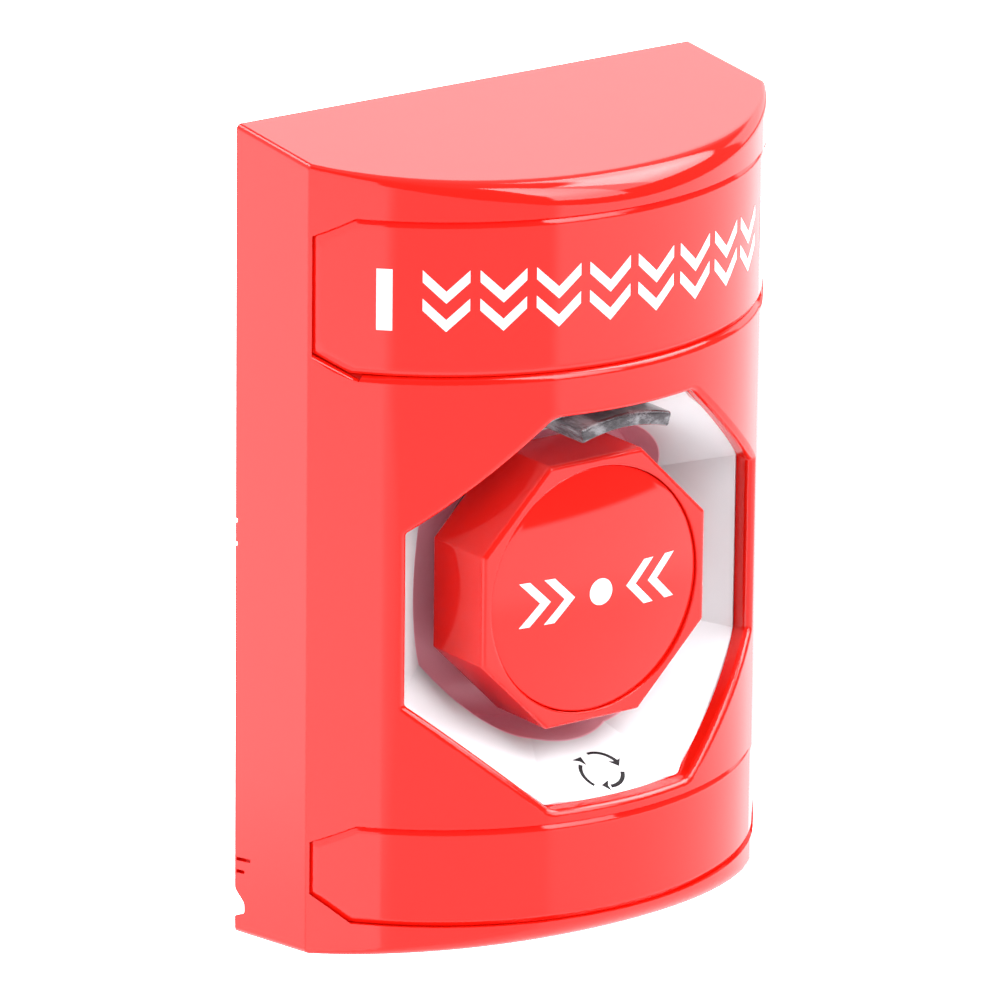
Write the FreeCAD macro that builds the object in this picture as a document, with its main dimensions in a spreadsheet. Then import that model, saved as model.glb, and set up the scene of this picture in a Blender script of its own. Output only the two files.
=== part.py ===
import FreeCAD, Part
import math
import os
import re
import Sketcher
from FreeCAD import Placement, Rotation, Vector

# Wall-mounted emergency push button: a bowed red housing with an octagonal
# opening, a white funnel insert, an octagonal turn-to-reset push head on a
# sprung stem, and two contact blocks that reach through the backplate.
# Frame: origin on the wall plane at the centre of the two box screws,
# front towards -Y, +Z up, +X to the right. Millimetres.

os.makedirs("parts", exist_ok=True)
doc = FreeCAD.newDocument("emergency_push_button")

# ----------------------------------------------------------------- dimensions
SIZES = [
    # housing
    ("cover_half_w", 40.5), ("cover_half_h", 61.0), ("cover_side_depth", 17.75),
    ("cover_front", 40.65), ("cover_radius", 47.264), ("cover_centre", 6.614),
    ("cover_slope_run", 70.0), ("cover_slope_rise", 7.69),
    ("cover_wall", 2.5), ("cover_inner_radius", 44.3), ("cover_inner_front", 37.686),
    ("cover_inner_depth", 16.155),
    ("edge_round", 0.8), ("crest_round", 4.3),
    # opening in the housing, on the button axis
    ("button_z", -7.25),
    ("open_half_w", 30.5), ("open_half_h", 29.5), ("open_top_x", 12.1), ("open_side_z", 13.0),
    ("open_round_top", 3.0), ("open_round_side", 1.0), ("open_lip", 0.9), ("insert_gap", 0.15),
    # label pockets
    ("label_end_x", 40.2), ("label_top_x", 36.4), ("label_low_x", 36.6),
    ("label_top_z", 51.95), ("label_low_z", 29.0), ("label_end_high", 48.75), ("label_end_low", 31.7),
    ("blank_top_x", 36.05), ("blank_low_x", 36.55),
    ("blank_top_z", 38.55), ("blank_low_z", 53.45), ("blank_end_high", 41.75), ("blank_end_low", 49.7),
    ("pocket_depth", 1.1), ("plate_sink", 0.2), ("plate_gap", 0.15), ("lip_long", 1.2), ("lip_slant", 0.7),
    ("plate_bevel", 0.5),
    # rear edge of the housing
    ("notch_high_z", 53.88), ("notch_low_z", 58.57), ("notch_flat_high", 56.15), ("notch_flat_low", 57.2), ("notch_deep", 2.36),
    ("slot_high_z", 49.5), ("slot_low_z", 51.4),
    ("slot_half", 0.27), ("slot_deep", 0.85), ("slot_rise", 0.58), ("slot_long", 3.9), ("slot_short", 2.4),
    ("hook_z", 30.0),
    # funnel insert
    ("funnel_front", 42.0), ("funnel_back", 13.5), ("dish_wall", 2.8),
    ("rim_crown_y", 36.6), ("rim_crown_x", 12.1), ("land_y", 25.24), ("land_x", 29.2),
    ("well_r", 24.0), ("tube_r", 25.8), ("floor_t", 2.0), ("floor_hole_r", 11.15),
    ("flange_r", 44.25), ("flange_t", 2.0), ("flange_half_w", 34.5), ("flange_half_h", 33.5),
    ("flange_top_x", 13.63), ("flange_side_z", 14.79),
    ("stud_x", 24.6), ("stud_dz", 24.6), ("stud_r", 1.25), ("stud_pad_r", 4.2),
    ("stud_pad_back", 24.2), ("stud_back", 22.2), ("push_nut_r", 4.0), ("push_nut_t", 0.7),
    # status light
    ("lens_inner_r", 26.0), ("lens_outer_r", 28.2), ("lens_front", 39.1), ("lens_back", 16.7),
    ("lens_half_angle", 16.5), ("slot_air", 0.1),
    ("led_board_front", 15.0), ("led_board_t", 1.6), ("led_board_half_w", 15.0),
    ("led_board_low", 26.15), ("led_board_high", 38.0),
    ("holder_front", 20.0), ("holder_half_w", 12.0), ("holder_high", 31.2),
    ("led_ring_r", 27.1), ("led_r", 0.9), ("led_back", 16.4),
    ("post_x", 12.6), ("post_dz", 33.4), ("post_r", 2.2), ("post_front", 33.0), ("board_screw_r", 1.0),
    # push head
    ("cap_half_flat", 19.85), ("cap_front", 32.2), ("cap_back", 20.1), ("cap_wall", 1.8),
    ("cap_face_t", 2.4), ("cap_bevel", 0.7), ("disc_r", 18.35), ("disc_pocket_r", 18.45),
    ("disc_pocket", 1.0), ("disc_sink", 0.2), ("boss_r", 8.5), ("boss_back", 24.6),
    ("clip_pocket_r", 7.6), ("clip_pocket_back", 29.85),
    ("cam_inner_r", 15.35), ("cam_outer_r", 17.9), ("cam_back", 22.6), ("lug_inner_r", 13.7),
    ("lug_front", 24.6), ("lug_angle", 12.0),
    # stem and actuator
    ("stem_r", 5.0), ("stem_front", 31.0), ("stem_back", 3.0), ("stem_groove_r", 4.2),
    ("clip_front", 30.75), ("clip_t", 0.75), ("clip_r", 7.0),
    ("collar_r", 8.8), ("collar_t", 1.6),
    ("plate_half_x", 13.0), ("plate_half_z", 4.0), ("plate_back", 0.5),
    ("actuator_screw_r", 1.5), ("actuator_head_r", 2.75), ("actuator_head_t", 1.2),
    ("spring_mean_r", 6.9), ("spring_wire_r", 0.5), ("spring_turns", 5.0),
    # operator housing
    ("turret_r", 15.0), ("turret_front", 24.0), ("turret_seat", 14.5), ("turret_bore_r", 9.4),
    ("turret_bore_back", 12.0), ("guide_t", 2.0), ("guide_air", 0.05), ("tube_thread_r", 11.0),
    ("tube_back", 4.0), ("tube_bore_r", 8.5), ("cam_track_r", 13.4), ("cam_track_back", 17.0),
    ("nut_t", 3.2), ("nut_half_flat", 14.5),
    # carrier behind the nut
    ("carrier_front", 8.0), ("carrier_back", 6.0), ("carrier_half_x", 17.0), ("carrier_half_z", 20.0),
    ("carrier_room_x", 14.6), ("carrier_room_z", 12.5),
    # contact blocks
    ("block_x", 8.5), ("block_half_x", 7.8), ("block_half_z", 20.0), ("block_back", 24.0),
    ("room_half_x", 6.0), ("room_half_z", 12.0), ("room_front", 8.0), ("lid_t", 2.0),
    ("plunger_half_x", 2.5), ("plunger_half_z", 3.5), ("plunger_air", 0.2),
    ("term_near", 13.5), ("term_far", 18.8), ("term_screw_z", 16.1), ("wire_hole_r", 1.7),
    ("strip_half_x", 2.2), ("strip_t", 0.8), ("strip_inner", 4.8), ("tip_z", 7.4), ("tip_r", 1.3), ("tip_t", 0.5),
    ("nc_strip", 9.0), ("no_strip", 18.1), ("bridge_half_x", 1.6), ("bridge_half_z", 9.0), ("bridge_t", 0.6),
    ("bridge_spring", 3.0), ("bridge_spring_r", 1.3),
    ("no_bridge", 11.3),
    ("screw_r", 1.4), ("screw_head_r", 2.5), ("screw_head_t", 1.6), ("clamp_half", 2.4), ("clamp_t", 0.8),
    ("hook_arm_t", 1.2), ("hook_arm_half_x", 3.0), ("hook_arm_front", 1.0), ("hook_nib", 1.5),
    # backplate
    ("backplate_half_w", 37.0), ("backplate_half_h", 57.5), ("backplate_t", 1.5),
    ("window_half_w", 22.0), ("window_low", 33.0), ("window_high", 22.0),
    ("box_screw_half", 41.65), ("box_screw_r", 2.1), ("knock_r", 1.6),
    ("tab_t", 1.2), ("tab_depth", 12.0), ("tab_half_z", 6.0),
    ("tab_window_half_z", 4.2), ("tab_window_front", 9.6), ("tab_window_back", 7.4),
    ("ground_x", 27.0), ("ground_z", 44.0), ("ground_r", 1.9), ("ground_head_r", 3.6), ("ground_head_t", 2.2),
]
sheet = doc.addObject("Spreadsheet::Sheet", "Sizes")
for row, (alias, value) in enumerate(SIZES, 1):
    sheet.set("A%d" % row, alias)
    sheet.set("B%d" % row, repr(value))
    sheet.setAlias("B%d" % row, alias)
doc.recompute()
S = dict(SIZES)


class Q:
    """A size with its number and its expression on the sheet."""

    def __init__(self, number, text=None):
        self.v = float(number)
        self.e = text if text is not None else repr(float(number))

    @staticmethod
    def of(other):
        return other if isinstance(other, Q) else Q(other)

    def __add__(self, o):
        o = Q.of(o)
        return Q(self.v + o.v, "(%s + %s)" % (self.e, o.e))

    def __sub__(self, o):
        o = Q.of(o)
        return Q(self.v - o.v, "(%s - %s)" % (self.e, o.e))

    def __mul__(self, o):
        o = Q.of(o)
        return Q(self.v * o.v, "(%s * %s)" % (self.e, o.e))

    def __truediv__(self, o):
        o = Q.of(o)
        return Q(self.v / o.v, "(%s / %s)" % (self.e, o.e))

    def __neg__(self):
        return Q(-self.v, "(0 - %s)" % self.e)

    def __radd__(self, o):
        return Q.of(o) + self

    def __rsub__(self, o):
        return Q.of(o) - self

    def __rmul__(self, o):
        return Q.of(o) * self


def q(alias):
    return Q(S[alias], "Sizes." + alias)


def add(kind, name):
    obj = doc.addObject(kind, name)
    obj.Label = name
    return obj


def bind(obj, prop, size):
    size = Q.of(size)
    obj.setExpression(prop, size.e)


def at(obj, x, y, z):
    for axis, size in zip("xyz", (x, y, z)):
        bind(obj, "Placement.Base." + axis, size)


# ------------------------------------------------------------- building blocks
def block(name, x0, x1, y0, y1, z0, z1):
    obj = add("Part::Box", name)
    for prop, a, b in (("Length", x0, x1), ("Width", y0, y1), ("Height", z0, z1)):
        bind(obj, prop, Q.of(b) - a)
    at(obj, x0, y0, z0)
    return obj


def rod(name, x, z, y0, y1, r, span=None, start=0.0):
    """A cylinder along Y; span and start (degrees, clockwise from +X seen from the front) make a wedge."""
    obj = add("Part::Cylinder", name)
    bind(obj, "Radius", r)
    bind(obj, "Height", Q.of(y1) - y0)
    if span is not None:
        bind(obj, "Angle", span)
    obj.Placement = Placement(Vector(), Rotation(Vector(1, 0, 0), -90) * Rotation(Vector(0, 0, 1), start))
    at(obj, x, y0, z)
    return obj


def post(name, x, y, z0, z1, r):
    """A cylinder along Z."""
    obj = add("Part::Cylinder", name)
    bind(obj, "Radius", r)
    bind(obj, "Height", Q.of(z1) - z0)
    at(obj, x, y, z0)
    return obj


def beam(name, y, z, x0, x1, r):
    """A cylinder along X."""
    obj = add("Part::Cylinder", name)
    bind(obj, "Radius", r)
    bind(obj, "Height", Q.of(x1) - x0)
    obj.Placement = Placement(Vector(), Rotation(Vector(0, 1, 0), 90))
    at(obj, x0, y, z)
    return obj


def fuse(name, *parts):
    obj = add("Part::MultiFuse", name)
    obj.Shapes = list(parts)
    obj.Refine = True
    return obj


def common(name, *parts):
    obj = add("Part::MultiCommon", name)
    obj.Shapes = list(parts)
    return obj


def cut(name, base, *tools):
    tool = tools[0] if len(tools) == 1 else fuse(name + "_tools", *tools)
    obj = add("Part::Cut", name)
    obj.Base, obj.Tool = base, tool
    obj.Refine = True
    return obj


def group(name, *parts):
    obj = add("Part::Compound", name)
    obj.Links = list(parts)
    return obj


def mirror(name, base, normal, centre=Vector()):
    obj = add("Part::Mirroring", name)
    obj.Source = base
    obj.Normal = normal
    obj.Base = centre
    return obj


def round_edges(name, base, wanted, kind="Part::Fillet"):
    """wanted(edge) gives (r_start, r_end) or None."""
    doc.recompute()
    obj = add(kind, name)
    obj.Base = base
    picked = []
    for i, edge in enumerate(base.Shape.Edges, 1):
        r = wanted(edge)
        if r:
            picked.append((i, float(r[0]), float(r[1])))
    if not picked:
        raise RuntimeError("no edge found for " + name)
    obj.Edges = picked
    return obj


SPOT = {
    "front": (Rotation(Vector(1, 0, 0), 90), Vector(0, 1, 0)),
    "plan": (Rotation(), Vector(0, 0, 1)),
    "side": (Rotation(Vector(1, 1, 1), 120), Vector(1, 0, 0)),
}


def outline(name, view, offset, pts, arcs=()):
    """A closed sketch through pts, each corner dimensioned from the origin. Sides in arcs bow about the sketch's vertical axis."""
    sk = add("Sketcher::SketchObject", name)
    rot, normal = SPOT[view]
    sk.Placement = Placement(Vector(), rot)
    bind(sk, "Placement.Base." + {"front": "y", "plan": "z", "side": "x"}[view], offset)
    pts = [(Q.of(a), Q.of(b)) for a, b in pts]
    n = len(pts)
    for i in range(n):
        (ax, ay), (bx, by) = pts[i], pts[(i + 1) % n]
        a, b = Vector(ax.v, ay.v, 0), Vector(bx.v, by.v, 0)
        if i in arcs:
            cy = (a.x ** 2 + a.y ** 2 - b.x ** 2 - b.y ** 2) / (2 * (a.y - b.y))
            r = math.hypot(a.x, a.y - cy)
            ta, tb = math.atan2(a.y - cy, a.x), math.atan2(b.y - cy, b.x)
            if tb < ta:
                tb += 2 * math.pi
            sk.addGeometry(Part.ArcOfCircle(Part.Circle(Vector(0, cy, 0), Vector(0, 0, 1), r), ta, tb))
        else:
            sk.addGeometry(Part.LineSegment(a, b))
    for i in range(n):
        sk.addConstraint(Sketcher.Constraint("Coincident", i, 2, (i + 1) % n, 1))
    for i in arcs:
        sk.addConstraint(Sketcher.Constraint("PointOnObject", i, 3, -2))
    for i, (px, py) in enumerate(pts):
        for size, kind, axis in ((px, "DistanceX", -2), (py, "DistanceY", -1)):
            if abs(size.v) < 1e-9:
                sk.addConstraint(Sketcher.Constraint("PointOnObject", i, 1, axis))
            elif size.v > 0:
                k = sk.addConstraint(Sketcher.Constraint(kind, -1, 1, i, 1, size.v))
                sk.setExpression("Constraints[%d]" % k, size.e)
            else:
                k = sk.addConstraint(Sketcher.Constraint(kind, i, 1, -1, 1, -size.v))
                sk.setExpression("Constraints[%d]" % k, (-size).e)
    return sk


def slab(name, view, start, end, pts, arcs=()):
    """A straight extrusion of an outline from start to end along the view's own axis."""
    sk = outline(name + "_sketch", view, start, pts, arcs)
    obj = add("Part::Extrusion", name)
    obj.Base = sk
    obj.DirMode = "Custom"
    obj.Dir = SPOT[view][1]
    obj.Solid = True
    bind(obj, "LengthFwd", Q.of(end) - start)
    return obj


def octagon(half_w, half_h, top_x, side_z, cz):
    return [(-top_x, cz - half_h), (top_x, cz - half_h), (half_w, cz - side_z), (half_w, cz + side_z),
            (top_x, cz + half_h), (-top_x, cz + half_h), (-half_w, cz + side_z), (-half_w, cz - side_z)]


BZ = q("button_z")
NODES = []


def node(obj, name):
    obj.Label = name
    NODES.append((name, obj))
    return obj


# --------------------------------------------------------------- front cover
def bowed(name, half_w, depth, front, half_h, rear):
    """The bowed plan outline, extruded over the height and cut by the sloping top and bottom."""
    plan = slab(name + "_plan", "plan", -half_h, half_h,
                [(half_w, rear), (-half_w, rear), (-half_w, -depth), (0, -front), (half_w, -depth)], arcs=(2, 3))
    run, rise = q("cover_slope_run"), q("cover_slope_rise")
    wedge = slab(name + "_slopes", "side", -half_w - 2, half_w + 2,
                 [(rear, -half_h), (rear, half_h), (-run, half_h - rise), (-run, rise - half_h)])
    return common(name, plan, wedge)


outer = bowed("cover_outer", q("cover_half_w"), q("cover_side_depth"), q("cover_front"), q("cover_half_h"), Q(0))


def cover_edges(edge):
    box = edge.BoundBox
    if box.YMax < -17 and box.YMin < -40 and abs(box.ZMin + box.ZMax) > 80:
        first = edge.valueAt(edge.FirstParameter)
        a, b = S["edge_round"], S["crest_round"]
        return (a, b) if abs(first.x) > 20 else (b, a)
    if abs(box.XMin) > 40 and abs(box.XMax) > 40 and box.YMin < -10 and box.XMin * box.XMax > 0:
        return S["edge_round"], S["edge_round"]
    return None


outer = round_edges("cover_rounded", outer, cover_edges)
inner = bowed("cover_inner", q("cover_half_w") - q("cover_wall"), q("cover_inner_depth"), q("cover_inner_front"),
              q("cover_half_h") - q("cover_wall"), Q(1))


def opening(name, y0, y1, gap):
    prism = slab(name + "_prism", "front", y0, y1,
                 octagon(q("open_half_w") - gap, q("open_half_h") - gap, q("open_top_x") - gap * 0.38,
                         q("open_side_z") - gap * 0.45, BZ))
    g = Q.of(gap).v

    def corners(edge):
        box = edge.BoundBox
        if box.XLength > 1e-3 or box.ZLength > 1e-3:
            return None
        r = (S["open_round_side"] if abs(box.XMin) > 20 else S["open_round_top"]) - g
        return r, r
    return round_edges(name, prism, corners)


hole = opening("cover_opening", Q(-45), Q(-12), Q(0))
shell = cut("cover_pierced", outer, hole)


def lip(edge):
    box = edge.BoundBox
    if box.XMin < -31 or box.XMax > 31 or box.YMax > -20 or box.ZMax > 24 or box.ZMin < -38:
        return None
    mid = edge.valueAt((edge.FirstParameter + edge.LastParameter) / 2)
    if abs(math.hypot(mid.x, mid.y - S["cover_centre"]) - S["cover_radius"]) > 0.02:
        return None
    if abs(mid.x) < 1e-3 and box.ZLength > 5:
        return None
    return S["open_lip"], S["open_lip"]


shell = round_edges("cover_lipped", shell, lip)


def ring_sheet(name, r_in, r_out, z0, z1):
    """The shell of a cylinder about the housing's bow axis."""
    return cut(name, post(name + "_out", 0, q("cover_centre"), z0, z1, r_out),
               post(name + "_in", 0, q("cover_centre"), z0, z1, r_in))


def label_pts(gap):
    g = Q.of(gap)
    ex, tx, lx = q("label_end_x") - g, q("label_top_x") - g * 0.4, q("label_low_x") - g * 0.4
    tz, lz, eh, el = q("label_top_z") - g, q("label_low_z") + g, q("label_end_high") - g * 0.4, q("label_end_low") + g * 0.4
    return [(-lx, lz), (lx, lz), (ex, el), (ex, eh), (tx, tz), (-tx, tz), (-ex, eh), (-ex, el)]


def blank_pts(gap):
    g = Q.of(gap)
    ex, tx, lx = q("label_end_x") - g, q("blank_top_x") - g * 0.4, q("blank_low_x") - g * 0.4
    tz, lz = -q("blank_top_z") - g, g - q("blank_low_z")
    eh, el = -q("blank_end_high") - g * 0.4, g * 0.4 - q("blank_end_low")
    return [(-lx, lz), (lx, lz), (ex, el), (ex, eh), (tx, tz), (-tx, tz), (-ex, eh), (-ex, el)]


R = q("cover_radius")
pockets = []
plates = []
for name, pts, z0, z1 in (("label_plate", label_pts, 25, 56), ("lower_label_plate", blank_pts, -57, -36)):
    tool = common(name + "_pocket", slab(name + "_pocket_prism", "front", Q(-46), Q(-10), pts(0)),
                  ring_sheet(name + "_pocket_ring", R - q("pocket_depth"), R + 4, z0, z1))
    pockets.append(tool)
    sheet_solid = common(name + "_flat", slab(name + "_prism", "front", Q(-46), Q(-10), pts(q("plate_gap"))),
                         ring_sheet(name + "_ring", R - q("pocket_depth"), R - q("plate_sink"), z0, z1))
    plates.append((name, sheet_solid))

def plate_edges(edge):
    """The outer edge of a label plate: on its outer face, except the join along the middle."""
    mid = edge.valueAt((edge.FirstParameter + edge.LastParameter) / 2)
    if abs(math.hypot(mid.x, mid.y - S["cover_centre"]) - (S["cover_radius"] - S["plate_sink"])) > 0.02:
        return None
    return S["plate_bevel"], S["plate_bevel"]


for name, flat in plates:
    node(round_edges(name + "_bevelled", flat, plate_edges, "Part::Chamfer"), name)

cavity = common("cover_cavity", inner, block("cover_cavity_limit", -60, 60, -60, 2, -80, 80))


# snap ledges inside the side walls, under the windows of the backplate tabs
ledges = []
for side in (-1, 1):
    for up in (-1, 1):
        ledges.append(block("ledge_%s%s" % ("lr"[side > 0], "da"[up > 0]),
                            *sorted((Q(side) * 36.4, Q(side) * 38.4), key=lambda s: s.v), Q(-9.4), Q(-7.6),
                            Q(up) * q("hook_z") - 3.9, Q(up) * q("hook_z") + 3.9))
# moulded studs that carry the insert
studs = []
for side in (-1, 1):
    for up in (-1, 1):
        studs.append(rod("stud_%s%s" % ("lr"[side > 0], "da"[up > 0]), Q(side) * q("stud_x"), BZ + Q(up) * q("stud_dz"),
                         Q(-31.5), -q("stud_back"), q("stud_r")))

rear = []
for side in (-1, 1):
    tag = "lr"[side > 0]
    x0, x1 = sorted((Q(side) * 37.0, Q(side) * 42.0), key=lambda s: s.v)
    swell = [(i / 10, (i / 10) ** 2 * (3 - 2 * i / 10)) for i in range(11)]
    high = [(-q("notch_deep") * b, -q("notch_high_z") - (q("notch_flat_high") - q("notch_high_z")) * a) for a, b in swell]
    low = [(-q("notch_deep") * b, -q("notch_low_z") + (q("notch_low_z") - q("notch_flat_low")) * a) for a, b in swell]
    rear.append(slab("notch_" + tag, "side", x0, x1, [(1, -q("notch_high_z"))] + high + low[::-1] + [(1, -q("notch_low_z"))]))
    for spot, z, long in (("high", q("slot_high_z"), q("slot_long")), ("low", q("slot_low_z"), q("slot_short"))):
        rise = q("slot_rise") * long / q("slot_long")
        rear.append(slab("slot_%s_%s" % (spot, tag), "side", *sorted((Q(side) * (q("cover_half_w") - q("slot_deep")), Q(side) * 42.0), key=lambda s: s.v),
                         [(-0.35, -z - q("slot_half")), (-0.35, -z + q("slot_half")),
                          (-long, rise - z + q("slot_half")), (-long, rise - z - q("slot_half"))]))
    for z in (2.0, -1.5):
        rear.append(block("nick_%s_%s" % (tag, "ba"[z > 0]), *sorted((Q(side) * 40.1, Q(side) * 42.0), key=lambda s: s.v),
                          Q(-0.5), Q(1), z - 0.35, z + 0.35))

hollow = cut("cover_hollow", shell, cavity)
whole = fuse("cover_with_ribs", hollow, *ledges, *studs)


def shaped(name, shape):
    obj = add("Part::Feature", name)
    obj.Shape = shape
    return obj


def long_lip():
    """What rounds the long lower rim of the upper pocket: a ring about the bow axis, less the round itself."""
    radius, centre, r, z = S["cover_radius"], S["cover_centre"], S["lip_long"], S["label_low_z"]
    low = Vector(0, centre, z - r)
    ring = Part.makeCylinder(radius + 1.5, r + 0.6, low).cut(Part.makeCylinder(radius - r, r + 0.6, low))
    span = Part.makeBox(2 * S["label_low_x"], 80, 20, Vector(-S["label_low_x"], -80, z - 10))
    return ring.common(span).cut(Part.makeTorus(radius - r, r, low, Vector(0, 0, 1)))


def slant_lip(side):
    """The same for the slanting rim at one end: a prism along the rim, less a cylinder that touches wall and front."""
    radius, centre, r = S["cover_radius"], S["cover_centre"], S["lip_slant"]

    def on_front(x, z):
        return Vector(side * x, centre - math.sqrt(radius * radius - x * x), z)
    inner_end, outer_end = on_front(S["label_low_x"], S["label_low_z"]), on_front(S["label_end_x"], S["label_end_low"])
    along = (outer_end - inner_end).normalize()
    mid = on_front((S["label_low_x"] + S["label_end_x"]) / 2, (S["label_low_z"] + S["label_end_low"]) / 2)
    front = Vector(mid.x, mid.y - centre, 0).normalize()
    front = (front - along * front.dot(along)).normalize()
    wall = along.cross(Vector(0, 1, 0)).normalize()
    if wall.z < 0:
        wall = wall * -1
    half = math.acos(front.dot(wall)) / 2
    middle = mid - (front + wall).normalize() * (r / math.cos(half))
    long = (outer_end - inner_end).Length
    start = along * (long / 2 + 1)
    section = [middle + front * r, middle + front * (r + 0.8), mid + (front + wall) * 0.8, middle + wall * (r + 0.8), middle + wall * r]
    face = Part.Face(Part.makePolygon([p - start for p in section + section[:1]]))
    solid = face.extrude(along * (long + 2)).cut(Part.makeCylinder(r, long + 4, middle - along * (long / 2 + 2), along))
    return solid.common(Part.makeBox(2 * S["label_end_x"], 80, 20, Vector(-S["label_end_x"], -80, 20)))


cover = cut("cover_cut", whole, *pockets, *rear)
lips = [shaped("pocket_lip_" + tag, solid) for tag, solid in
        (("long", long_lip()), ("left", slant_lip(-1)), ("right", slant_lip(1)))]
doc.recompute()
# a Part::Cut of these tools fails on the torus, so the cut is made here and its volume compared
lipped = cover.Shape.cut([lip.Shape for lip in lips])
if not lipped.isValid() or not 20 < cover.Shape.Volume - lipped.Volume < 60:
    raise RuntimeError("the pocket's lip wasn't cut")
cover = shaped("cover_lipped_pocket", lipped)
node(cover, "front_cover")

# --------------------------------------------------------------- bezel insert
def funnel_section(y):
    """Half sizes of the funnel's octagon at depth y (negative towards the front)."""
    side = 29.35 - 1.2 * (y + 25.24)
    top = 29.5 - 0.57 * (y + 37.2)
    k = 22.26 * (y + 37.2)
    top_x = 12.1 - (k + 28.68 * (top - 29.5)) / 12.0
    side_z = 29.5 - (k + 12.0 * (side - 12.1)) / 28.68
    return side, top, top_x, side_z


def funnel(name, shift, y0, y1):
    """The eight-sided funnel between depths y0 and y1, moved back by shift: flat facets between two octagons."""
    rings = []
    for y in (y0, y1):
        side, top, top_x, side_z = funnel_section(y)
        rings.append([Vector(Q.of(x).v, y + shift, Q.of(z).v)
                      for x, z in octagon(Q(side), Q(top), Q(top_x), Q(side_z), Q(S["button_z"]))])
    front, rear = rings
    loops = [front, rear] + [[front[i], front[(i + 1) % 8], rear[(i + 1) % 8], rear[i]] for i in range(8)]
    solid = Part.makeSolid(Part.makeShell([Part.Face(Part.makePolygon(loop + loop[:1])) for loop in loops]))
    if solid.Volume < 0:
        solid.reverse()
    obj = add("Part::Feature", name)
    obj.Shape = solid
    return obj


mouth = funnel("funnel_mouth", 0.0, -S["funnel_front"], -S["funnel_back"])
dish = funnel("funnel_outside", S["dish_wall"], -S["funnel_front"], -S["funnel_back"])
limit = opening("insert_prism", Q(-40), Q(-11.6), q("insert_gap"))
crown = slab("insert_crown", "plan", BZ - 40, BZ + 40,
             [(34, 0), (-34, 0), (-34, -q("land_y")), (-q("land_x"), -q("land_y")), (-q("rim_crown_x"), -q("rim_crown_y")),
              (q("rim_crown_x"), -q("rim_crown_y")), (q("land_x"), -q("land_y")), (34, -q("land_y"))])
dish = common("insert_dish", dish, limit, crown)
tube = rod("insert_tube", Q(0), BZ, Q(-31), q("floor_t") - q("funnel_back"), q("tube_r"))
flange = common("insert_flange",
                slab("insert_flange_prism", "front", Q(-42), Q(-20),
                     octagon(q("flange_half_w"), q("flange_half_h"), q("flange_top_x"), q("flange_side_z"), BZ)),
                ring_sheet("insert_flange_ring", q("flange_r") - q("flange_t"), q("flange_r"), BZ - 45, BZ + 45))
pads, pad_holes, nuts = [], [], []
for side in (-1, 1):
    for up in (-1, 1):
        tag = "%s%s" % ("lr"[side > 0], "da"[up > 0])
        x, z = Q(side) * q("stud_x"), BZ + Q(up) * q("stud_dz")
        pads.append(rod("stud_pad_" + tag, x, z, Q(-36), -q("stud_pad_back"), q("stud_pad_r")))
        pad_holes.append(rod("stud_hole_" + tag, x, z, Q(-40), Q(-20), q("stud_r") + 0.1))
        nuts.append(cut("push_nut_" + tag,
                        rod("push_nut_out_" + tag, x, z, -q("stud_pad_back"), q("push_nut_t") - q("stud_pad_back"), q("push_nut_r")),
                        rod("push_nut_in_" + tag, x, z, Q(-30), Q(-20), q("stud_r"))))
pads = common("stud_pads", fuse("stud_pads_all", *pads),
              post("stud_pads_limit", 0, q("cover_centre"), BZ - 45, BZ + 45, q("flange_r")))
posts, post_holes, board_screws = [], [], []
for side in (-1, 1):
    tag = "lr"[side > 0]
    x, z = Q(side) * q("post_x"), BZ + q("post_dz")
    posts.append(rod("board_post_" + tag, x, z, -q("post_front") - 3.0, -q("led_board_front"), q("post_r")))
    post_holes.append(rod("board_post_hole_" + tag, x, z, Q(-21.0), Q(-14), q("board_screw_r")))
    board_screws.append(fuse("board_screw_" + tag,
                             rod("board_screw_shank_" + tag, x, z, Q(-20.5), q("led_board_t") - q("led_board_front"), q("board_screw_r")),
                             rod("board_screw_head_" + tag, x, z, q("led_board_t") - q("led_board_front"),
                                 q("led_board_t") - q("led_board_front") + 1.2, q("board_screw_r") * 1.9)))
posts = common("board_posts", fuse("board_posts_all", *posts),
               post("board_posts_limit", 0, q("cover_centre"), BZ - 45, BZ + 45, q("flange_r")))
well = rod("insert_well", Q(0), BZ, Q(-45), -q("funnel_back"), q("well_r"))
floor_hole = rod("insert_floor_hole", Q(0), BZ, Q(-14), Q(-11), q("floor_hole_r"))


def sector(name, r_in, r_out, y0, y1, half):
    """A ring sector about the button axis, centred at the top."""
    start = 270.0 - Q.of(half).v
    return cut(name, rod(name + "_out", Q(0), BZ, y0, y1, r_out, Q.of(half) * 2, start),
               rod(name + "_in", Q(0), BZ, Q.of(y0) - 1, Q.of(y1) + 1, r_in))


lens_slot = sector("lens_slot", q("lens_inner_r") - q("slot_air"), q("lens_outer_r") + q("slot_air"), Q(-42), Q(-21),
                   q("lens_half_angle") + 0.25)
insert = cut("insert_cut", fuse("insert_whole", dish, tube, flange, pads, posts),
             mouth, well, floor_hole, lens_slot, *pad_holes, *post_holes)
node(insert, "bezel_insert")
node(group("insert_push_nuts", *nuts), "insert_push_nuts")
node(group("board_screws", *board_screws), "board_screws")

# --------------------------------------------------------------- status light
bar = sector("lens_bar", q("lens_inner_r"), q("lens_outer_r"), -q("lens_front"), -q("lens_back"), q("lens_half_angle"))


def lens_edges(edge):
    box = edge.BoundBox
    if abs(box.YMin + S["lens_front"]) < 1e-3 and box.YLength < 1e-3 and box.XLength > 10:
        return 0.55, 0.55
    return None


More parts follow.
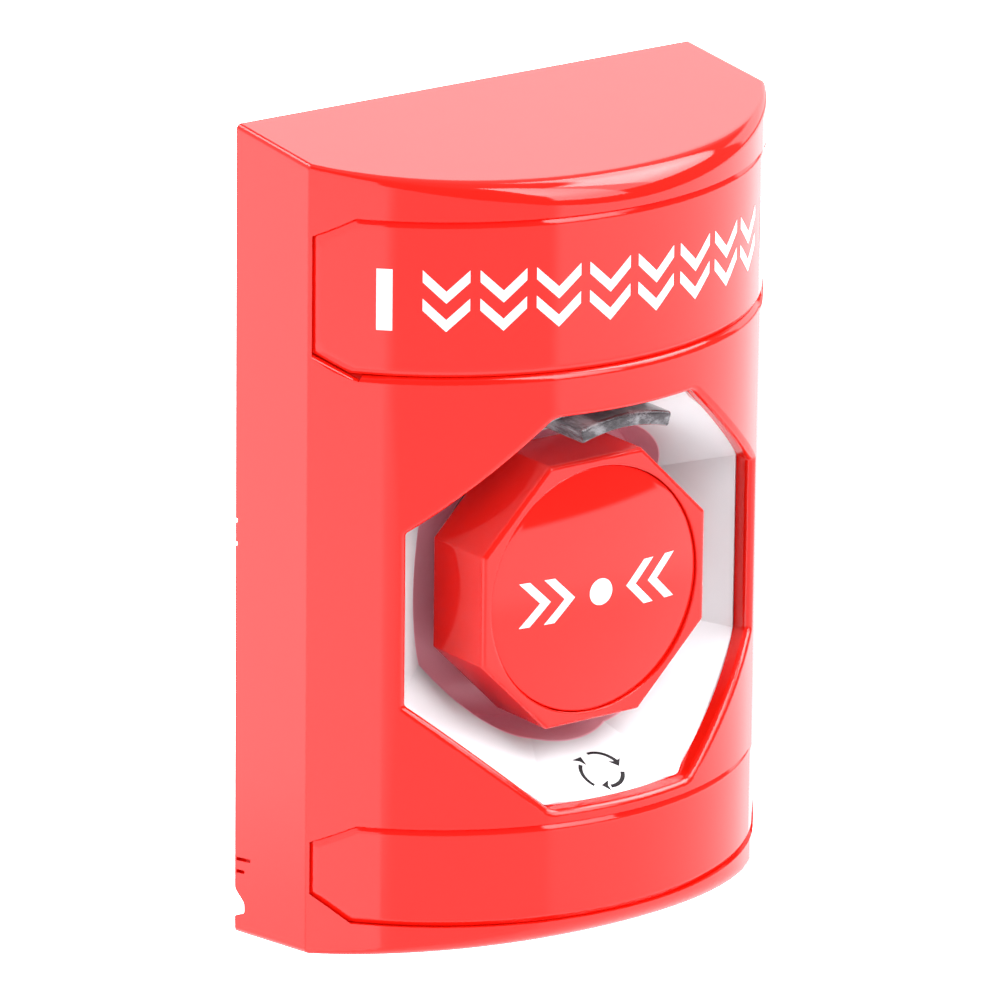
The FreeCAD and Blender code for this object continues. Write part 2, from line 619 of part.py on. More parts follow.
node(round_edges("lens_rounded", bar, lens_edges), "status_lens")
holder = cut("holder_cut",
             block("holder_block", -q("holder_half_w"), q("holder_half_w"), -q("holder_front"), -q("led_board_front"),
                   BZ + 24.0, BZ + q("holder_high")),
             rod("holder_well", Q(0), BZ, Q(-22), Q(-14), q("tube_r") + 0.05),
             sector("holder_lens_slot", q("lens_inner_r"), q("lens_outer_r"), Q(-22), -q("lens_back"), q("lens_half_angle")),
             sector("holder_led_room", q("lens_inner_r"), q("lens_outer_r"), -q("lens_back"), Q(-14), q("lens_half_angle") - 1.5))
node(holder, "light_guide_holder")
board = cut("board_cut",
            block("board_block", -q("led_board_half_w"), q("led_board_half_w"), -q("led_board_front"),
                  q("led_board_t") - q("led_board_front"), BZ + q("led_board_low") - 0.3, BZ + q("led_board_high")),
            rod("board_hole_l", -q("post_x"), BZ + q("post_dz"), Q(-16), Q(-12), q("board_screw_r")),
            rod("board_hole_r", q("post_x"), BZ + q("post_dz"), Q(-16), Q(-12), q("board_screw_r")))
node(board, "led_board")
leds = []
for i, angle in enumerate((-11.0, 0.0, 11.0)):
    turn = math.radians(angle)
    leds.append(rod("led_%d" % i, q("led_ring_r") * math.sin(turn), BZ + q("led_ring_r") * math.cos(turn),
                    -q("led_back"), -q("led_board_front"), q("led_r")))
node(group("status_leds", *leds), "status_leds")
plug_room = [rod("connector_pin_hole_%d" % i, Q(-4.0 + 4.0 * i), BZ + 34.8, Q(-12), Q(-6), Q(1.1)) for i in range(3)]
node(cut("connector_cut", block("connector_block", Q(-6.5), Q(6.5), q("led_board_t") - q("led_board_front"), Q(-6.5),
                                BZ + 32.2, BZ + 37.4), *plug_room), "board_connector")

# ------------------------------------------------------------------ push head
K = math.tan(math.radians(22.5))


def regular(half_flat):
    return octagon(half_flat, half_flat, half_flat * K, half_flat * K, BZ)


cap_blank = slab("cap_blank", "front", -q("cap_front"), -q("cap_back"), regular(q("cap_half_flat")))


def cap_edges(edge):
    box = edge.BoundBox
    if abs(box.YMin + S["cap_front"]) < 1e-3 and box.YLength < 1e-3:
        return S["cap_bevel"], S["cap_bevel"]
    if box.YLength > 10:
        return 0.5, 0.5
    return None


cap_blank = round_edges("cap_rounded", cap_blank, cap_edges)
face_back = q("cap_face_t") - q("cap_front")
cap = cut("cap_cut",
          fuse("cap_whole",
               cut("cap_hollowed", cap_blank,
                   slab("cap_room", "front", face_back, Q(-15), regular(q("cap_half_flat") - q("cap_wall")))),
               rod("cap_boss", Q(0), BZ, face_back - 0.5, -q("boss_back"), q("boss_r"))),
          rod("cap_disc_pocket", Q(0), BZ, Q(-34), q("disc_pocket") - q("cap_front"), q("disc_pocket_r")),
          rod("cap_clip_pocket", Q(0), BZ, Q(-34), -q("clip_pocket_back"), q("clip_pocket_r")),
          rod("cap_bore", Q(0), BZ, Q(-34), Q(-20), q("stem_r") + q("guide_air")))
node(cap, "button_cap")


def disc_edges(edge):
    box = edge.BoundBox
    if abs(box.YMin + S["cap_front"] - S["disc_sink"]) < 1e-3 and box.YLength < 1e-3:
        return 0.3, 0.3
    return None


disc = round_edges("disc_rounded",
                   rod("disc_blank", Q(0), BZ, q("disc_sink") - q("cap_front"), q("disc_pocket") - q("cap_front"), q("disc_r")),
                   disc_edges)
node(disc, "button_face_disc")
lugs = [cut("cam_lug_%d" % i,
            rod("cam_lug_out_%d" % i, Q(0), BZ, -q("lug_front"), -q("cam_back"), q("cam_inner_r") + 0.8, q("lug_angle"), start),
            rod("cam_lug_in_%d" % i, Q(0), BZ, Q(-26), Q(-20), q("lug_inner_r"))) for i, start in enumerate((20.0, 200.0))]
cam = fuse("cam_whole",
           cut("cam_ring_body", rod("cam_ring_out", Q(0), BZ, face_back, -q("cam_back"), q("cam_outer_r")),
               rod("cam_ring_in", Q(0), BZ, Q(-31), Q(-20), q("cam_inner_r"))), *lugs)
node(cam, "cam_ring")

# ---------------------------------------------------------- stem and actuator
stem = cut("stem_cut",
           fuse("stem_whole", rod("stem_rod", Q(0), BZ, -q("stem_front"), -q("stem_back"), q("stem_r")),
                rod("stem_collar", Q(0), BZ, -q("boss_back"), q("collar_t") - q("boss_back"), q("collar_r"))),
           cut("stem_groove", rod("stem_groove_out", Q(0), BZ, -q("clip_front"), q("clip_t") - q("clip_front"), q("stem_r") + 1),
               rod("stem_groove_in", Q(0), BZ, Q(-32), Q(-29), q("stem_groove_r"))),
           rod("stem_screw_hole", Q(0), BZ, Q(-10), Q(-2), q("actuator_screw_r")))
node(stem, "stem")
clip = cut("clip_ring", rod("clip_out", Q(0), BZ, -q("clip_front"), q("clip_t") - q("clip_front"), q("clip_r"), Q(300), 120.0),
           rod("clip_in", Q(0), BZ, Q(-32), Q(-29), q("stem_groove_r")))
node(clip, "head_retaining_clip")
bar_back = -q("plate_back")
plate = cut("actuator_cut",
            block("actuator_block", -q("plate_half_x"), q("plate_half_x"), -q("stem_back"), bar_back,
                  BZ - q("plate_half_z"), BZ + q("plate_half_z")),
            rod("actuator_hole", Q(0), BZ, Q(-4), Q(0), q("actuator_screw_r")))
node(plate, "actuator_plate")
screw = fuse("actuator_screw_whole",
             rod("actuator_screw_shank", Q(0), BZ, Q(-9.5), bar_back, q("actuator_screw_r")),
             rod("actuator_screw_head", Q(0), BZ, bar_back, bar_back + q("actuator_head_t"), q("actuator_head_r")))
node(screw, "actuator_screw")

# return spring: a twelve-sided wire on a helix between the stem collar and the turret floor
spring_front = -S["boss_back"] + S["collar_t"] + S["spring_wire_r"] + 0.02
spring_back = -S["turret_bore_back"] - S["spring_wire_r"] - 0.02
pitch = (spring_back - spring_front) / S["spring_turns"]
helix = Part.makeHelix(pitch, spring_back - spring_front, S["spring_mean_r"])
run = Vector(0, 2 * math.pi * S["spring_mean_r"], pitch).normalize()
across, over = Vector(1, 0, 0), run.cross(Vector(1, 0, 0))
corners = [Vector(S["spring_mean_r"], 0, 0) + across * (S["spring_wire_r"] * math.cos(math.radians(15 + 30 * k)))
           + over * (S["spring_wire_r"] * math.sin(math.radians(15 + 30 * k))) for k in range(12)]
coil = Part.Wire(helix.Edges).makePipeShell([Part.Wire(Part.makePolygon(corners + corners[:1]))], True, True)
spring = add("Part::Feature", "return_spring_wire")
spring.Shape = coil
spring.Placement = Placement(Vector(0, spring_front, S["button_z"]), Rotation(Vector(1, 0, 0), -90))
node(spring, "return_spring")

# ------------------------------------------------------------ operator housing
tracks = [cut("cam_track_%d" % i,
              rod("cam_track_out_%d" % i, Q(0), BZ, Q(-26), -q("cam_track_back"), q("turret_r") + 1, Q(66), start),
              rod("cam_track_in_%d" % i, Q(0), BZ, Q(-27), Q(-16), q("cam_track_r"))) for i, start in enumerate((16.0, 196.0))]
housing = cut("housing_cut",
              fuse("housing_whole", rod("turret", Q(0), BZ, -q("turret_front"), -q("turret_seat"), q("turret_r")),
                   rod("threaded_tube", Q(0), BZ, -q("turret_seat") - 2, -q("tube_back"), q("tube_thread_r"))),
              rod("turret_bore", Q(0), BZ, Q(-25), -q("turret_bore_back"), q("turret_bore_r")),
              rod("stem_guide", Q(0), BZ, Q(-13), Q(-9), q("stem_r") + q("guide_air")),
              rod("tube_bore", Q(0), BZ, q("guide_t") - q("turret_bore_back"), Q(-3), q("tube_bore_r")),
              *tracks)
node(housing, "operator_housing")
node(cut("gasket_ring", rod("gasket_out", Q(0), BZ, -q("turret_seat"), -q("funnel_back"), q("turret_r") - 0.2),
         rod("gasket_in", Q(0), BZ, Q(-15), Q(-13), q("tube_thread_r"))), "operator_gasket")
nut_front = q("floor_t") - q("funnel_back")


def lock_nut():
    """Hexagonal ring nut, made as a padded hexagon with a round pocket."""
    body = add("PartDesign::Body", "lock_nut_body")
    plane = [f for f in body.Origin.OriginFeatures if f.Role == "XY_Plane"][0]
    sk = body.newObject("Sketcher::SketchObject", "nut_profile")
    sk.AttachmentSupport = [(plane, "")]
    sk.MapMode = "FlatFace"
    a = S["nut_half_flat"] / math.cos(math.radians(30))
    pts = [Vector(a * math.cos(math.radians(60 * i)), a * math.sin(math.radians(60 * i)), 0) for i in range(6)]
    for i in range(6):
        sk.addGeometry(Part.LineSegment(pts[i], pts[(i + 1) % 6]))
    ring = sk.addGeometry(Part.Circle(Vector(), Vector(0, 0, 1), a), True)
    for i in range(6):
        sk.addConstraint(Sketcher.Constraint("Coincident", i, 2, (i + 1) % 6, 1))
        sk.addConstraint(Sketcher.Constraint("PointOnObject", i, 1, ring))
    for i in range(1, 6):
        sk.addConstraint(Sketcher.Constraint("Equal", 0, i))
    sk.addConstraint(Sketcher.Constraint("Coincident", ring, 3, -1, 1))
    sk.addConstraint(Sketcher.Constraint("PointOnObject", 0, 1, -1))
    k = sk.addConstraint(Sketcher.Constraint("Radius", ring, a))
    sk.setExpression("Constraints[%d]" % k, "Sizes.nut_half_flat / cos(30 deg)")
    pad = body.newObject("PartDesign::Pad", "nut_pad")
    pad.Profile = sk
    pad.setExpression("Length", "Sizes.nut_t")
    doc.recompute()
    hole = body.newObject("Sketcher::SketchObject", "nut_bore")
    hole.AttachmentSupport = [(plane, "")]
    hole.MapMode = "FlatFace"
    hole.addGeometry(Part.Circle(Vector(), Vector(0, 0, 1), S["tube_thread_r"]))
    hole.addConstraint(Sketcher.Constraint("Coincident", 0, 3, -1, 1))
    k = hole.addConstraint(Sketcher.Constraint("Radius", 0, S["tube_thread_r"]))
    hole.setExpression("Constraints[%d]" % k, "Sizes.tube_thread_r")
    pocket = body.newObject("PartDesign::Pocket", "nut_hole")
    pocket.Profile = hole
    pocket.Type = "ThroughAll"
    pocket.Reversed = True
    doc.recompute()
    if pocket.Shape.Volume > pad.Shape.Volume - 100:
        raise RuntimeError("the nut has no bore")
    body.Placement = Placement(Vector(0, nut_front.v, BZ.v), Rotation(Vector(1, 0, 0), -90))
    bind(body, "Placement.Base.y", nut_front)
    bind(body, "Placement.Base.z", BZ)
    return body


node(lock_nut(), "lock_nut")

# ---------------------------------------------------------- carrier and blocks
carrier = cut("carrier_cut",
              block("carrier_block", -q("carrier_half_x"), q("carrier_half_x"), -q("carrier_front"), q("carrier_back"),
                    BZ - q("carrier_half_z"), BZ + q("carrier_half_z")),
              rod("carrier_collar", Q(0), BZ, Q(-9), Q(-3), q("tube_thread_r")),
              block("carrier_room", -q("carrier_room_x"), q("carrier_room_x"), -q("tube_back"), Q(7),
                    BZ - q("carrier_room_z"), BZ + q("carrier_room_z")),
              block("carrier_groove_high", Q(-18), Q(18), Q(0.8), Q(2.7), BZ + q("carrier_half_z") - 1.0, BZ + q("carrier_half_z") + 1),
              block("carrier_groove_low", Q(-18), Q(18), Q(0.8), Q(2.7), BZ - q("carrier_half_z") - 1, BZ - q("carrier_half_z") + 1.0))
node(carrier, "contact_carrier")

bridges, springs, tips_all, screws, clamps, plungers = [], [], [], [], [], []
for kind, side in (("nc", -1), ("no", 1)):
    bx = Q(side) * q("block_x")
    front, back = q("carrier_back"), q("block_back")
    strip = q(kind + "_strip")
    tools = [
        block(kind + "_room", bx - q("room_half_x"), bx + q("room_half_x"), q("room_front"), back + 1,
              BZ - q("room_half_z"), BZ + q("room_half_z")),
        block(kind + "_plunger_hole", bx - q("plunger_half_x") - q("plunger_air"), bx + q("plunger_half_x") + q("plunger_air"),
              front - 1, q("room_front") + 1, BZ - q("plunger_half_z") - q("plunger_air"), BZ + q("plunger_half_z") + q("plunger_air")),
    ]
    arms = []
    for up in (-1, 1):
        tag = "%s_%s" % (kind, "da"[up > 0])
        near, far = sorted((BZ + Q(up) * q("term_near"), BZ + Q(up) * q("term_far")), key=lambda s: s.v)
        zs = BZ + Q(up) * q("term_screw_z")
        tools.append(block("terminal_room_" + tag, bx - q("room_half_x") + 1, bx + q("room_half_x") - 1, strip, back + 1, near, far))
        tools.append(block("strip_slot_" + tag, bx - q("strip_half_x"), bx + q("strip_half_x"), strip, strip + q("strip_t"),
                           BZ + Q(up) * q("term_near") - 2.0, BZ + Q(up) * q("term_near") + 2.0))
        tools.append(rod("terminal_screw_room_" + tag, bx, zs, strip - 3.0, strip + 1, q("screw_r")))
        tools.append(post("wire_hole_" + tag, bx, strip + q("strip_t") + 1.9 if kind == "nc" else strip + q("strip_t") + 1.9,
                          *sorted((BZ + Q(up) * (q("term_far") - 1), BZ + Q(up) * (q("block_half_z") + 1)), key=lambda s: s.v), q("wire_hole_r")))
        # hooks that grip the carrier
        z0, z1 = sorted((BZ + Q(up) * q("block_half_z"), BZ + Q(up) * (q("block_half_z") + q("hook_arm_t"))), key=lambda s: s.v)
        n0, n1 = sorted((BZ + Q(up) * (q("block_half_z") - 0.9), BZ + Q(up) * (q("block_half_z") + 0.5)), key=lambda s: s.v)
        arms.append(block("hook_arm_" + tag, bx - q("hook_arm_half_x"), bx + q("hook_arm_half_x"), q("hook_arm_front"), front + 3, z0, z1))
        arms.append(block("hook_nib_" + tag, bx - q("hook_arm_half_x"), bx + q("hook_arm_half_x"), q("hook_arm_front"),
                          q("hook_arm_front") + q("hook_nib"), n0, n1))
        # fixed contact: strip with a silver tip
        s0, s1 = sorted((BZ + Q(up) * q("strip_inner"), BZ + Q(up) * (q("term_far") - 0.1)), key=lambda s: s.v)
        tip_y = (strip + q("strip_t"), strip + q("strip_t") + q("tip_t")) if kind == "nc" else (strip - q("tip_t"), strip)
        tips_all.append(cut("fixed_contact_" + tag,
                            fuse("fixed_contact_whole_" + tag,
                                 block("fixed_strip_" + tag, bx - q("strip_half_x"), bx + q("strip_half_x"), strip, strip + q("strip_t"), s0, s1),
                                 rod("fixed_tip_" + tag, bx, BZ + Q(up) * q("tip_z"), tip_y[0], tip_y[1], q("tip_r"))),
                            rod("fixed_strip_hole_" + tag, bx, zs, strip - 1, strip + 2, q("screw_r"))))
        top = strip + q("strip_t")
        clamps.append(cut("clamp_" + tag,
                          block("clamp_block_" + tag, bx - q("clamp_half"), bx + q("clamp_half"), top, top + q("clamp_t"),
                                zs - q("clamp_half"), zs + q("clamp_half")),
                          rod("clamp_hole_" + tag, bx, zs, top - 1, top + 2, q("screw_r"))))
        head = top + q("clamp_t")
        screws.append(cut("terminal_screw_" + tag,
                          fuse("terminal_screw_whole_" + tag,
                               rod("terminal_shank_" + tag, bx, zs, strip - 2.6, head, q("screw_r")),
                               rod("terminal_head_" + tag, bx, zs, head, head + q("screw_head_t"), q("screw_head_r"))),
                          block("terminal_slot_" + tag, bx - 3, bx + 3, head + q("screw_head_t") - 0.7, head + q("screw_head_t") + 1, zs - 0.35, zs + 0.35)))
    body = cut(kind + "_housing_cut",
               fuse(kind + "_housing_whole",
                    block(kind + "_housing_block", bx - q("block_half_x"), bx + q("block_half_x"), front, back,
                          BZ - q("block_half_z"), BZ + q("block_half_z")), *arms), *tools)
    node(body, kind + "_contact_housing")
    node(block(kind + "_lid_block", bx - q("room_half_x"), bx + q("room_half_x"), back - q("lid_t"), back,
               BZ - q("room_half_z"), BZ + q("room_half_z")), kind + "_contact_lid")
    # plunger with its window, moving bridge and contact spring
    if kind == "nc":
        bridge = strip + q("strip_t") + q("tip_t") * 2
        win0, win1 = bridge, bridge + q("bridge_t") + q("bridge_spring")
        tip_y = (bridge - q("tip_t"), bridge)
        spring_y = (bridge + q("bridge_t"), win1)
        end = win1 + 1.0
    else:
        bridge = q("no_bridge")
        win0, win1 = bridge - q("bridge_spring"), bridge + q("bridge_t")
        tip_y = (bridge + q("bridge_t"), bridge + q("bridge_t") + q("tip_t"))
        spring_y = (win0, bridge)
        end = win1 + 1.0
    plunger = cut(kind + "_plunger_cut",
                  block(kind + "_plunger_block", bx - q("plunger_half_x"), bx + q("plunger_half_x"), bar_back, end,
                        BZ - q("plunger_half_z"), BZ + q("plunger_half_z")),
                  block(kind + "_plunger_window", bx - q("bridge_half_x"), bx + q("bridge_half_x"), win0, win1,
                        BZ - q("plunger_half_z") - 1, BZ + q("plunger_half_z") + 1))
    node(plunger, kind + "_contact_plunger")
    node(fuse(kind + "_bridge_whole",
              block(kind + "_bridge_bar", bx - q("bridge_half_x"), bx + q("bridge_half_x"), bridge, bridge + q("bridge_t"),
                    BZ - q("bridge_half_z"), BZ + q("bridge_half_z")),
              rod(kind + "_bridge_tip_d", bx, BZ - q("tip_z"), tip_y[0], tip_y[1], q("tip_r")),
              rod(kind + "_bridge_tip_a", bx, BZ + q("tip_z"), tip_y[0], tip_y[1], q("tip_r"))), kind + "_moving_bridge")
    springs.append(cut(kind + "_bridge_spring",
                       rod(kind + "_bridge_spring_out", bx, BZ, spring_y[0], spring_y[1], q("bridge_spring_r")),
                       rod(kind + "_bridge_spring_in", bx, BZ, spring_y[0] - 1, spring_y[1] + 1, q("bridge_spring_r") - 0.5)))
node(group("fixed_contacts", *tips_all), "fixed_contacts")
node(group("terminal_screws", *screws), "terminal_screws")
node(group("terminal_clamps", *clamps), "terminal_clamps")
node(group("bridge_springs", *springs), "bridge_springs")

# ------------------------------------------------------------------ backplate
def backplate():
    """Pressed steel plate: one padded outline, pocketed for the contact blocks, box screws and knock-outs."""
    body = add("PartDesign::Body", "backplate_body")
    plane = [f for f in body.Origin.OriginFeatures if f.Role == "XY_Plane"][0]

    def sketch(name):
        sk = body.newObject("Sketcher::SketchObject", name)
        sk.AttachmentSupport = [(plane, "")]
        sk.MapMode = "FlatFace"
        return sk

    def rectangle(sk, x, low, high):
        """Corners at (+-x, -low) and (+-x, high), each a sheet size."""
        first = sk.GeometryCount
        pts = [Vector(-x.v, -low.v, 0), Vector(x.v, -low.v, 0), Vector(x.v, high.v, 0), Vector(-x.v, high.v, 0)]
        for i in range(4):
            sk.addGeometry(Part.LineSegment(pts[i], pts[(i + 1) % 4]))
        for i in range(4):
            sk.addConstraint(Sketcher.Constraint("Coincident", first + i, 2, first + (i + 1) % 4, 1))
        for i, kind in enumerate(("Horizontal", "Vertical", "Horizontal", "Vertical")):
            sk.addConstraint(Sketcher.Constraint(kind, first + i))
        for args, size in ((("DistanceX", first, 1, -1, 1), x), (("DistanceX", -1, 1, first + 1, 1), x),
                           (("DistanceY", first, 1, -1, 1), low), (("DistanceY", -1, 1, first + 2, 1), high)):
            k = sk.addConstraint(Sketcher.Constraint(*args, size.v))
            sk.setExpression("Constraints[%d]" % k, size.e)

    def circle(sk, x, y, r):
        i = sk.addGeometry(Part.Circle(Vector(x.v, y.v, 0), Vector(0, 0, 1), r.v))
        k = sk.addConstraint(Sketcher.Constraint("Radius", i, r.v))
        sk.setExpression("Constraints[%d]" % k, r.e)
        for kind, size, axis in (("DistanceX", x, -2), ("DistanceY", y, -1)):
            if abs(size.v) < 1e-9:
                sk.addConstraint(Sketcher.Constraint("PointOnObject", i, 3, axis))
            elif size.v > 0:
                k = sk.addConstraint(Sketcher.Constraint(kind, -1, 1, i, 3, size.v))
                sk.setExpression("Constraints[%d]" % k, size.e)
            else:
                k = sk.addConstraint(Sketcher.Constraint(kind, i, 3, -1, 1, -size.v))
                sk.setExpression("Constraints[%d]" % k, (-size).e)

    sk = sketch("plate_profile")
    rectangle(sk, q("backplate_half_w"), q("backplate_half_h"), q("backplate_half_h"))
    pad = body.newObject("PartDesign::Pad", "plate_pad")
    pad.Profile = sk
    pad.setExpression("Length", "Sizes.backplate_t")
    doc.recompute()
    sk = sketch("plate_openings")
    rectangle(sk, q("window_half_w"), q("window_low"), q("window_high"))
    for up in (-1, 1):
        circle(sk, Q(0), Q(up) * q("box_screw_half"), q("box_screw_r"))
    circle(sk, -q("ground_x"), -q("ground_z"), q("ground_r"))
    for x, z in ((30.0, 50.0), (-30.0, 50.0), (30.0, -50.0)):
        circle(sk, Q(x), Q(z), q("knock_r"))
    pocket = body.newObject("PartDesign::Pocket", "plate_holes")
    pocket.Profile = sk
    pocket.Type = "ThroughAll"
    pocket.Reversed = True
    doc.recompute()
    if pocket.Shape.Volume > pad.Shape.Volume - 1000:
        raise RuntimeError("the plate has no window")
    # sketch x is world X, sketch y is world Z, the pad grows towards -Y
    body.Placement = Placement(Vector(), Rotation(Vector(1, 0, 0), 90))
    return body


tabs, tab_holes = [], []
for side in (-1, 1):
    for up in (-1, 1):
        tag = "%s%s" % ("lr"[side > 0], "da"[up > 0])
        z = Q(up) * q("hook_z")
        x0, x1 = sorted((Q(side) * q("backplate_half_w"), Q(side) * (q("backplate_half_w") - q("tab_t"))), key=lambda s: s.v)
        tabs.append(block("tab_" + tag, x0, x1, -q("tab_depth"), -q("backplate_t") / 2, z - q("tab_half_z"), z + q("tab_half_z")))
        tab_holes.append(block("tab_window_" + tag, x0 - 1, x1 + 1, -q("tab_window_front"), -q("tab_window_back"),
                               z - q("tab_window_half_z"), z + q("tab_window_half_z")))
node(cut("backplate_cut", fuse("backplate_whole", backplate(), *tabs), *tab_holes), "backplate")
node(cut("ground_screw_cut",
         fuse("ground_screw_whole",
              rod("ground_shank", -q("ground_x"), -q("ground_z"), -q("backplate_t"), Q(-0.1), q("ground_r")),
              rod("ground_head", -q("ground_x"), -q("ground_z"), -q("backplate_t") - q("ground_head_t"), -q("backplate_t"), q("ground_head_r"))),
         block("ground_slot", -q("ground_x") - 5, -q("ground_x") + 5, -q("backplate_t") - q("ground_head_t") - 1,
               -q("backplate_t") - q("ground_head_t") + 1.0, -q("ground_z") - 0.5, -q("ground_z") + 0.5)), "ground_screw")

# ------------------------------------------------------------- check and write
doc.recompute()
bad = [o.Label for o in doc.Objects if "Invalid" in o.State or "Error" in o.State]
if bad:
    raise RuntimeError("failed objects: " + ", ".join(bad))
for name, obj in NODES:
    shape = obj.Shape
    if shape.isNull() or not shape.isValid() or not shape.Solids:
        raise RuntimeError("bad shape: " + name)
    if len(name) > 59 or not re.match(r"^[a-z0-9_]+$", name):
        raise RuntimeError("bad name: " + name)
for name, obj in NODES:
    if obj.Label != name:
        obj.Label = name
    obj.Shape.exportStep("parts/%s.step" % name)
    box = obj.Shape.BoundBox
    print("%-24s solids %d volume %9.1f  x %7.2f %7.2f  y %7.2f %7.2f  z %7.2f %7.2f" % (
        name, len(obj.Shape.Solids), obj.Shape.Volume, box.XMin, box.XMax, box.YMin, box.YMax, box.ZMin, box.ZMax))
print(len(NODES), "nodes")
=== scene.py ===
import bpy
import math
from mathutils import Matrix, Vector


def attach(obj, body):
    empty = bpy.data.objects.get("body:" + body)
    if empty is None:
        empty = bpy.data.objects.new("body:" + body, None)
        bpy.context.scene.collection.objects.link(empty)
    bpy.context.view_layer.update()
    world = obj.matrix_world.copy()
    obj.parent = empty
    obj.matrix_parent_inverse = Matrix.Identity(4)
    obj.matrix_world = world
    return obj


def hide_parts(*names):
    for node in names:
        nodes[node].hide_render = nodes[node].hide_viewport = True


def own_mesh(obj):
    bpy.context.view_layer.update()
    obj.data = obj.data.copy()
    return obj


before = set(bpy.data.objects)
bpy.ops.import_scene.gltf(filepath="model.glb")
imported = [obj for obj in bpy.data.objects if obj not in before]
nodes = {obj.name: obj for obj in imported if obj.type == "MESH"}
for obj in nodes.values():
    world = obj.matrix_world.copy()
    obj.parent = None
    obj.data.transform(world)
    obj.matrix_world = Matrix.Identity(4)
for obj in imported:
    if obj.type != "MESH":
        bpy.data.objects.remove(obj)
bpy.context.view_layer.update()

scene = bpy.context.scene

# ---------------------------------------------------------------- camera
# The lens and place follow from the corners of the housing in the picture.
AZ, EL, ROLL = 0.636577167, 0.309870201, 0.010783322
FOCAL, CX, CY, DIST = 9859.44139, 524.567586, 510.815608, 1427.57154
ahead = Vector((math.sin(AZ) * math.cos(EL), math.cos(AZ) * math.cos(EL), -math.sin(EL)))
side = Vector((math.cos(AZ), -math.sin(AZ), 0.0))
over = side.cross(ahead)
cam_x = math.cos(ROLL) * side + math.sin(ROLL) * over
cam_y = -math.sin(ROLL) * side + math.cos(ROLL) * over
cam_at = (Vector((0.0, -15.0, 0.0)) - DIST * ahead - (CX - 500) / FOCAL * DIST * cam_x
          + (CY - 500) / FOCAL * DIST * cam_y) * 0.001
lens = bpy.data.cameras.new("camera")
lens.sensor_width = 36.0
lens.lens = FOCAL / 1000 * 36.0
lens.clip_start, lens.clip_end = 0.01, 100.0
camera = bpy.data.objects.new("camera", lens)
scene.collection.objects.link(camera)
turn = Matrix.Identity(4)
for i in range(3):
    turn[i][0], turn[i][1], turn[i][2], turn[i][3] = cam_x[i], cam_y[i], -ahead[i], cam_at[i]
camera.matrix_world = turn
scene.camera = camera


# ---------------------------------------------------------------- shader helpers
class Tree:
    """Short hand for a shader node tree."""

    def __init__(self, tree):
        self.t = tree
        self.t.nodes.clear()

    def new(self, kind, **settings):
        n = self.t.nodes.new(kind)
        for k, v in settings.items():
            setattr(n, k, v)
        return n

    def put(self, socket, value):
        if isinstance(value, bpy.types.NodeSocket):
            self.t.links.new(value, socket)
        else:
            socket.default_value = value

    def math(self, op, a, b=0.0, c=0.0, clamp=False):
        n = self.new("ShaderNodeMath", operation=op, use_clamp=clamp)
        for s, v in zip(n.inputs, (a, b, c)):
            self.put(s, v)
        return n.outputs[0]

    def step(self, value, low, high, a=0.0, b=1.0, smooth=True):
        """a below low, b above high, a soft step between."""
        n = self.new("ShaderNodeMapRange", clamp=True)
        if smooth:
            n.interpolation_type = "SMOOTHSTEP"
        for s, v in zip(n.inputs, (value, low, high, a, b)):
            self.put(s, v)
        return n.outputs[0]

    def band(self, value, low, high, soft):
        """1 between low and high, 0 outside, soft wide at both ends."""
        up = self.step(self.math("SUBTRACT", value, low), -soft / 2, soft / 2)
        down = self.step(value, high - soft / 2, high + soft / 2, 1.0, 0.0)
        return self.math("MULTIPLY", up, down)

    def mix(self, factor, a, b):
        """a where factor is 0, b where it is 1, for plain values."""
        n = self.new("ShaderNodeMix", data_type="FLOAT")
        self.put(n.inputs[0], factor)
        self.put(n.inputs[2], a)
        self.put(n.inputs[3], b)
        return n.outputs[0]

    def colour(self, factor, stops):
        """A colour ramp. stops: (place, (r, g, b))."""
        n = self.new("ShaderNodeValToRGB")
        ramp = n.color_ramp
        while len(ramp.elements) < len(stops):
            ramp.elements.new(0.5)
        for e, (place, rgb) in zip(ramp.elements, stops):
            e.position, e.color = place, (*rgb, 1.0)
        self.put(n.inputs[0], factor)
        return n.outputs[0]

    def noise(self, where, scale, detail=2.0, rough=0.5, stretch=None):
        if stretch:
            m = self.new("ShaderNodeMapping")
            self.put(m.inputs["Vector"], where)
            m.inputs["Scale"].default_value = stretch
            where = m.outputs[0]
        n = self.new("ShaderNodeTexNoise")
        self.put(n.inputs["Vector"], where)
        n.inputs["Scale"].default_value = scale
        n.inputs["Detail"].default_value = detail
        n.inputs["Roughness"].default_value = rough
        return n.outputs["Fac"]

    def bump(self, height, strength, distance, normal=None):
        n = self.new("ShaderNodeBump")
        n.inputs["Strength"].default_value = strength
        n.inputs["Distance"].default_value = distance
        self.put(n.inputs["Height"], height)
        if normal is not None:
            self.put(n.inputs["Normal"], normal)
        return n.outputs[0]


# ---------------------------------------------------------------- studio
# Directions are measured from the wall's outward normal: az to the object's
# right (seen from the front to +X), el above the horizon, both in degrees.
world = bpy.data.worlds.new("studio")
scene.world = world
world.use_nodes = True
w = Tree(world.node_tree)
xyz = w.new("ShaderNodeSeparateXYZ")
w.put(xyz.inputs[0], w.new("ShaderNodeTexCoord").outputs["Generated"])
dx, dy, dz = xyz.outputs
az = w.math("MULTIPLY", w.math("ARCTAN2", dx, w.math("MULTIPLY", dy, -1.0)), 57.29578)
el = w.math("MULTIPLY", w.math("ARCSINE", dz), 57.29578)

light = w.mix(w.step(el, 55, 75), 0.25, 0.45)                                   # dim room, paler ceiling
light = w.mix(w.band(az, 118, 155, 8), light, 0.6)
light = w.mix(w.step(az, -110, -100, 1.0, 0.0), light, 1.0)
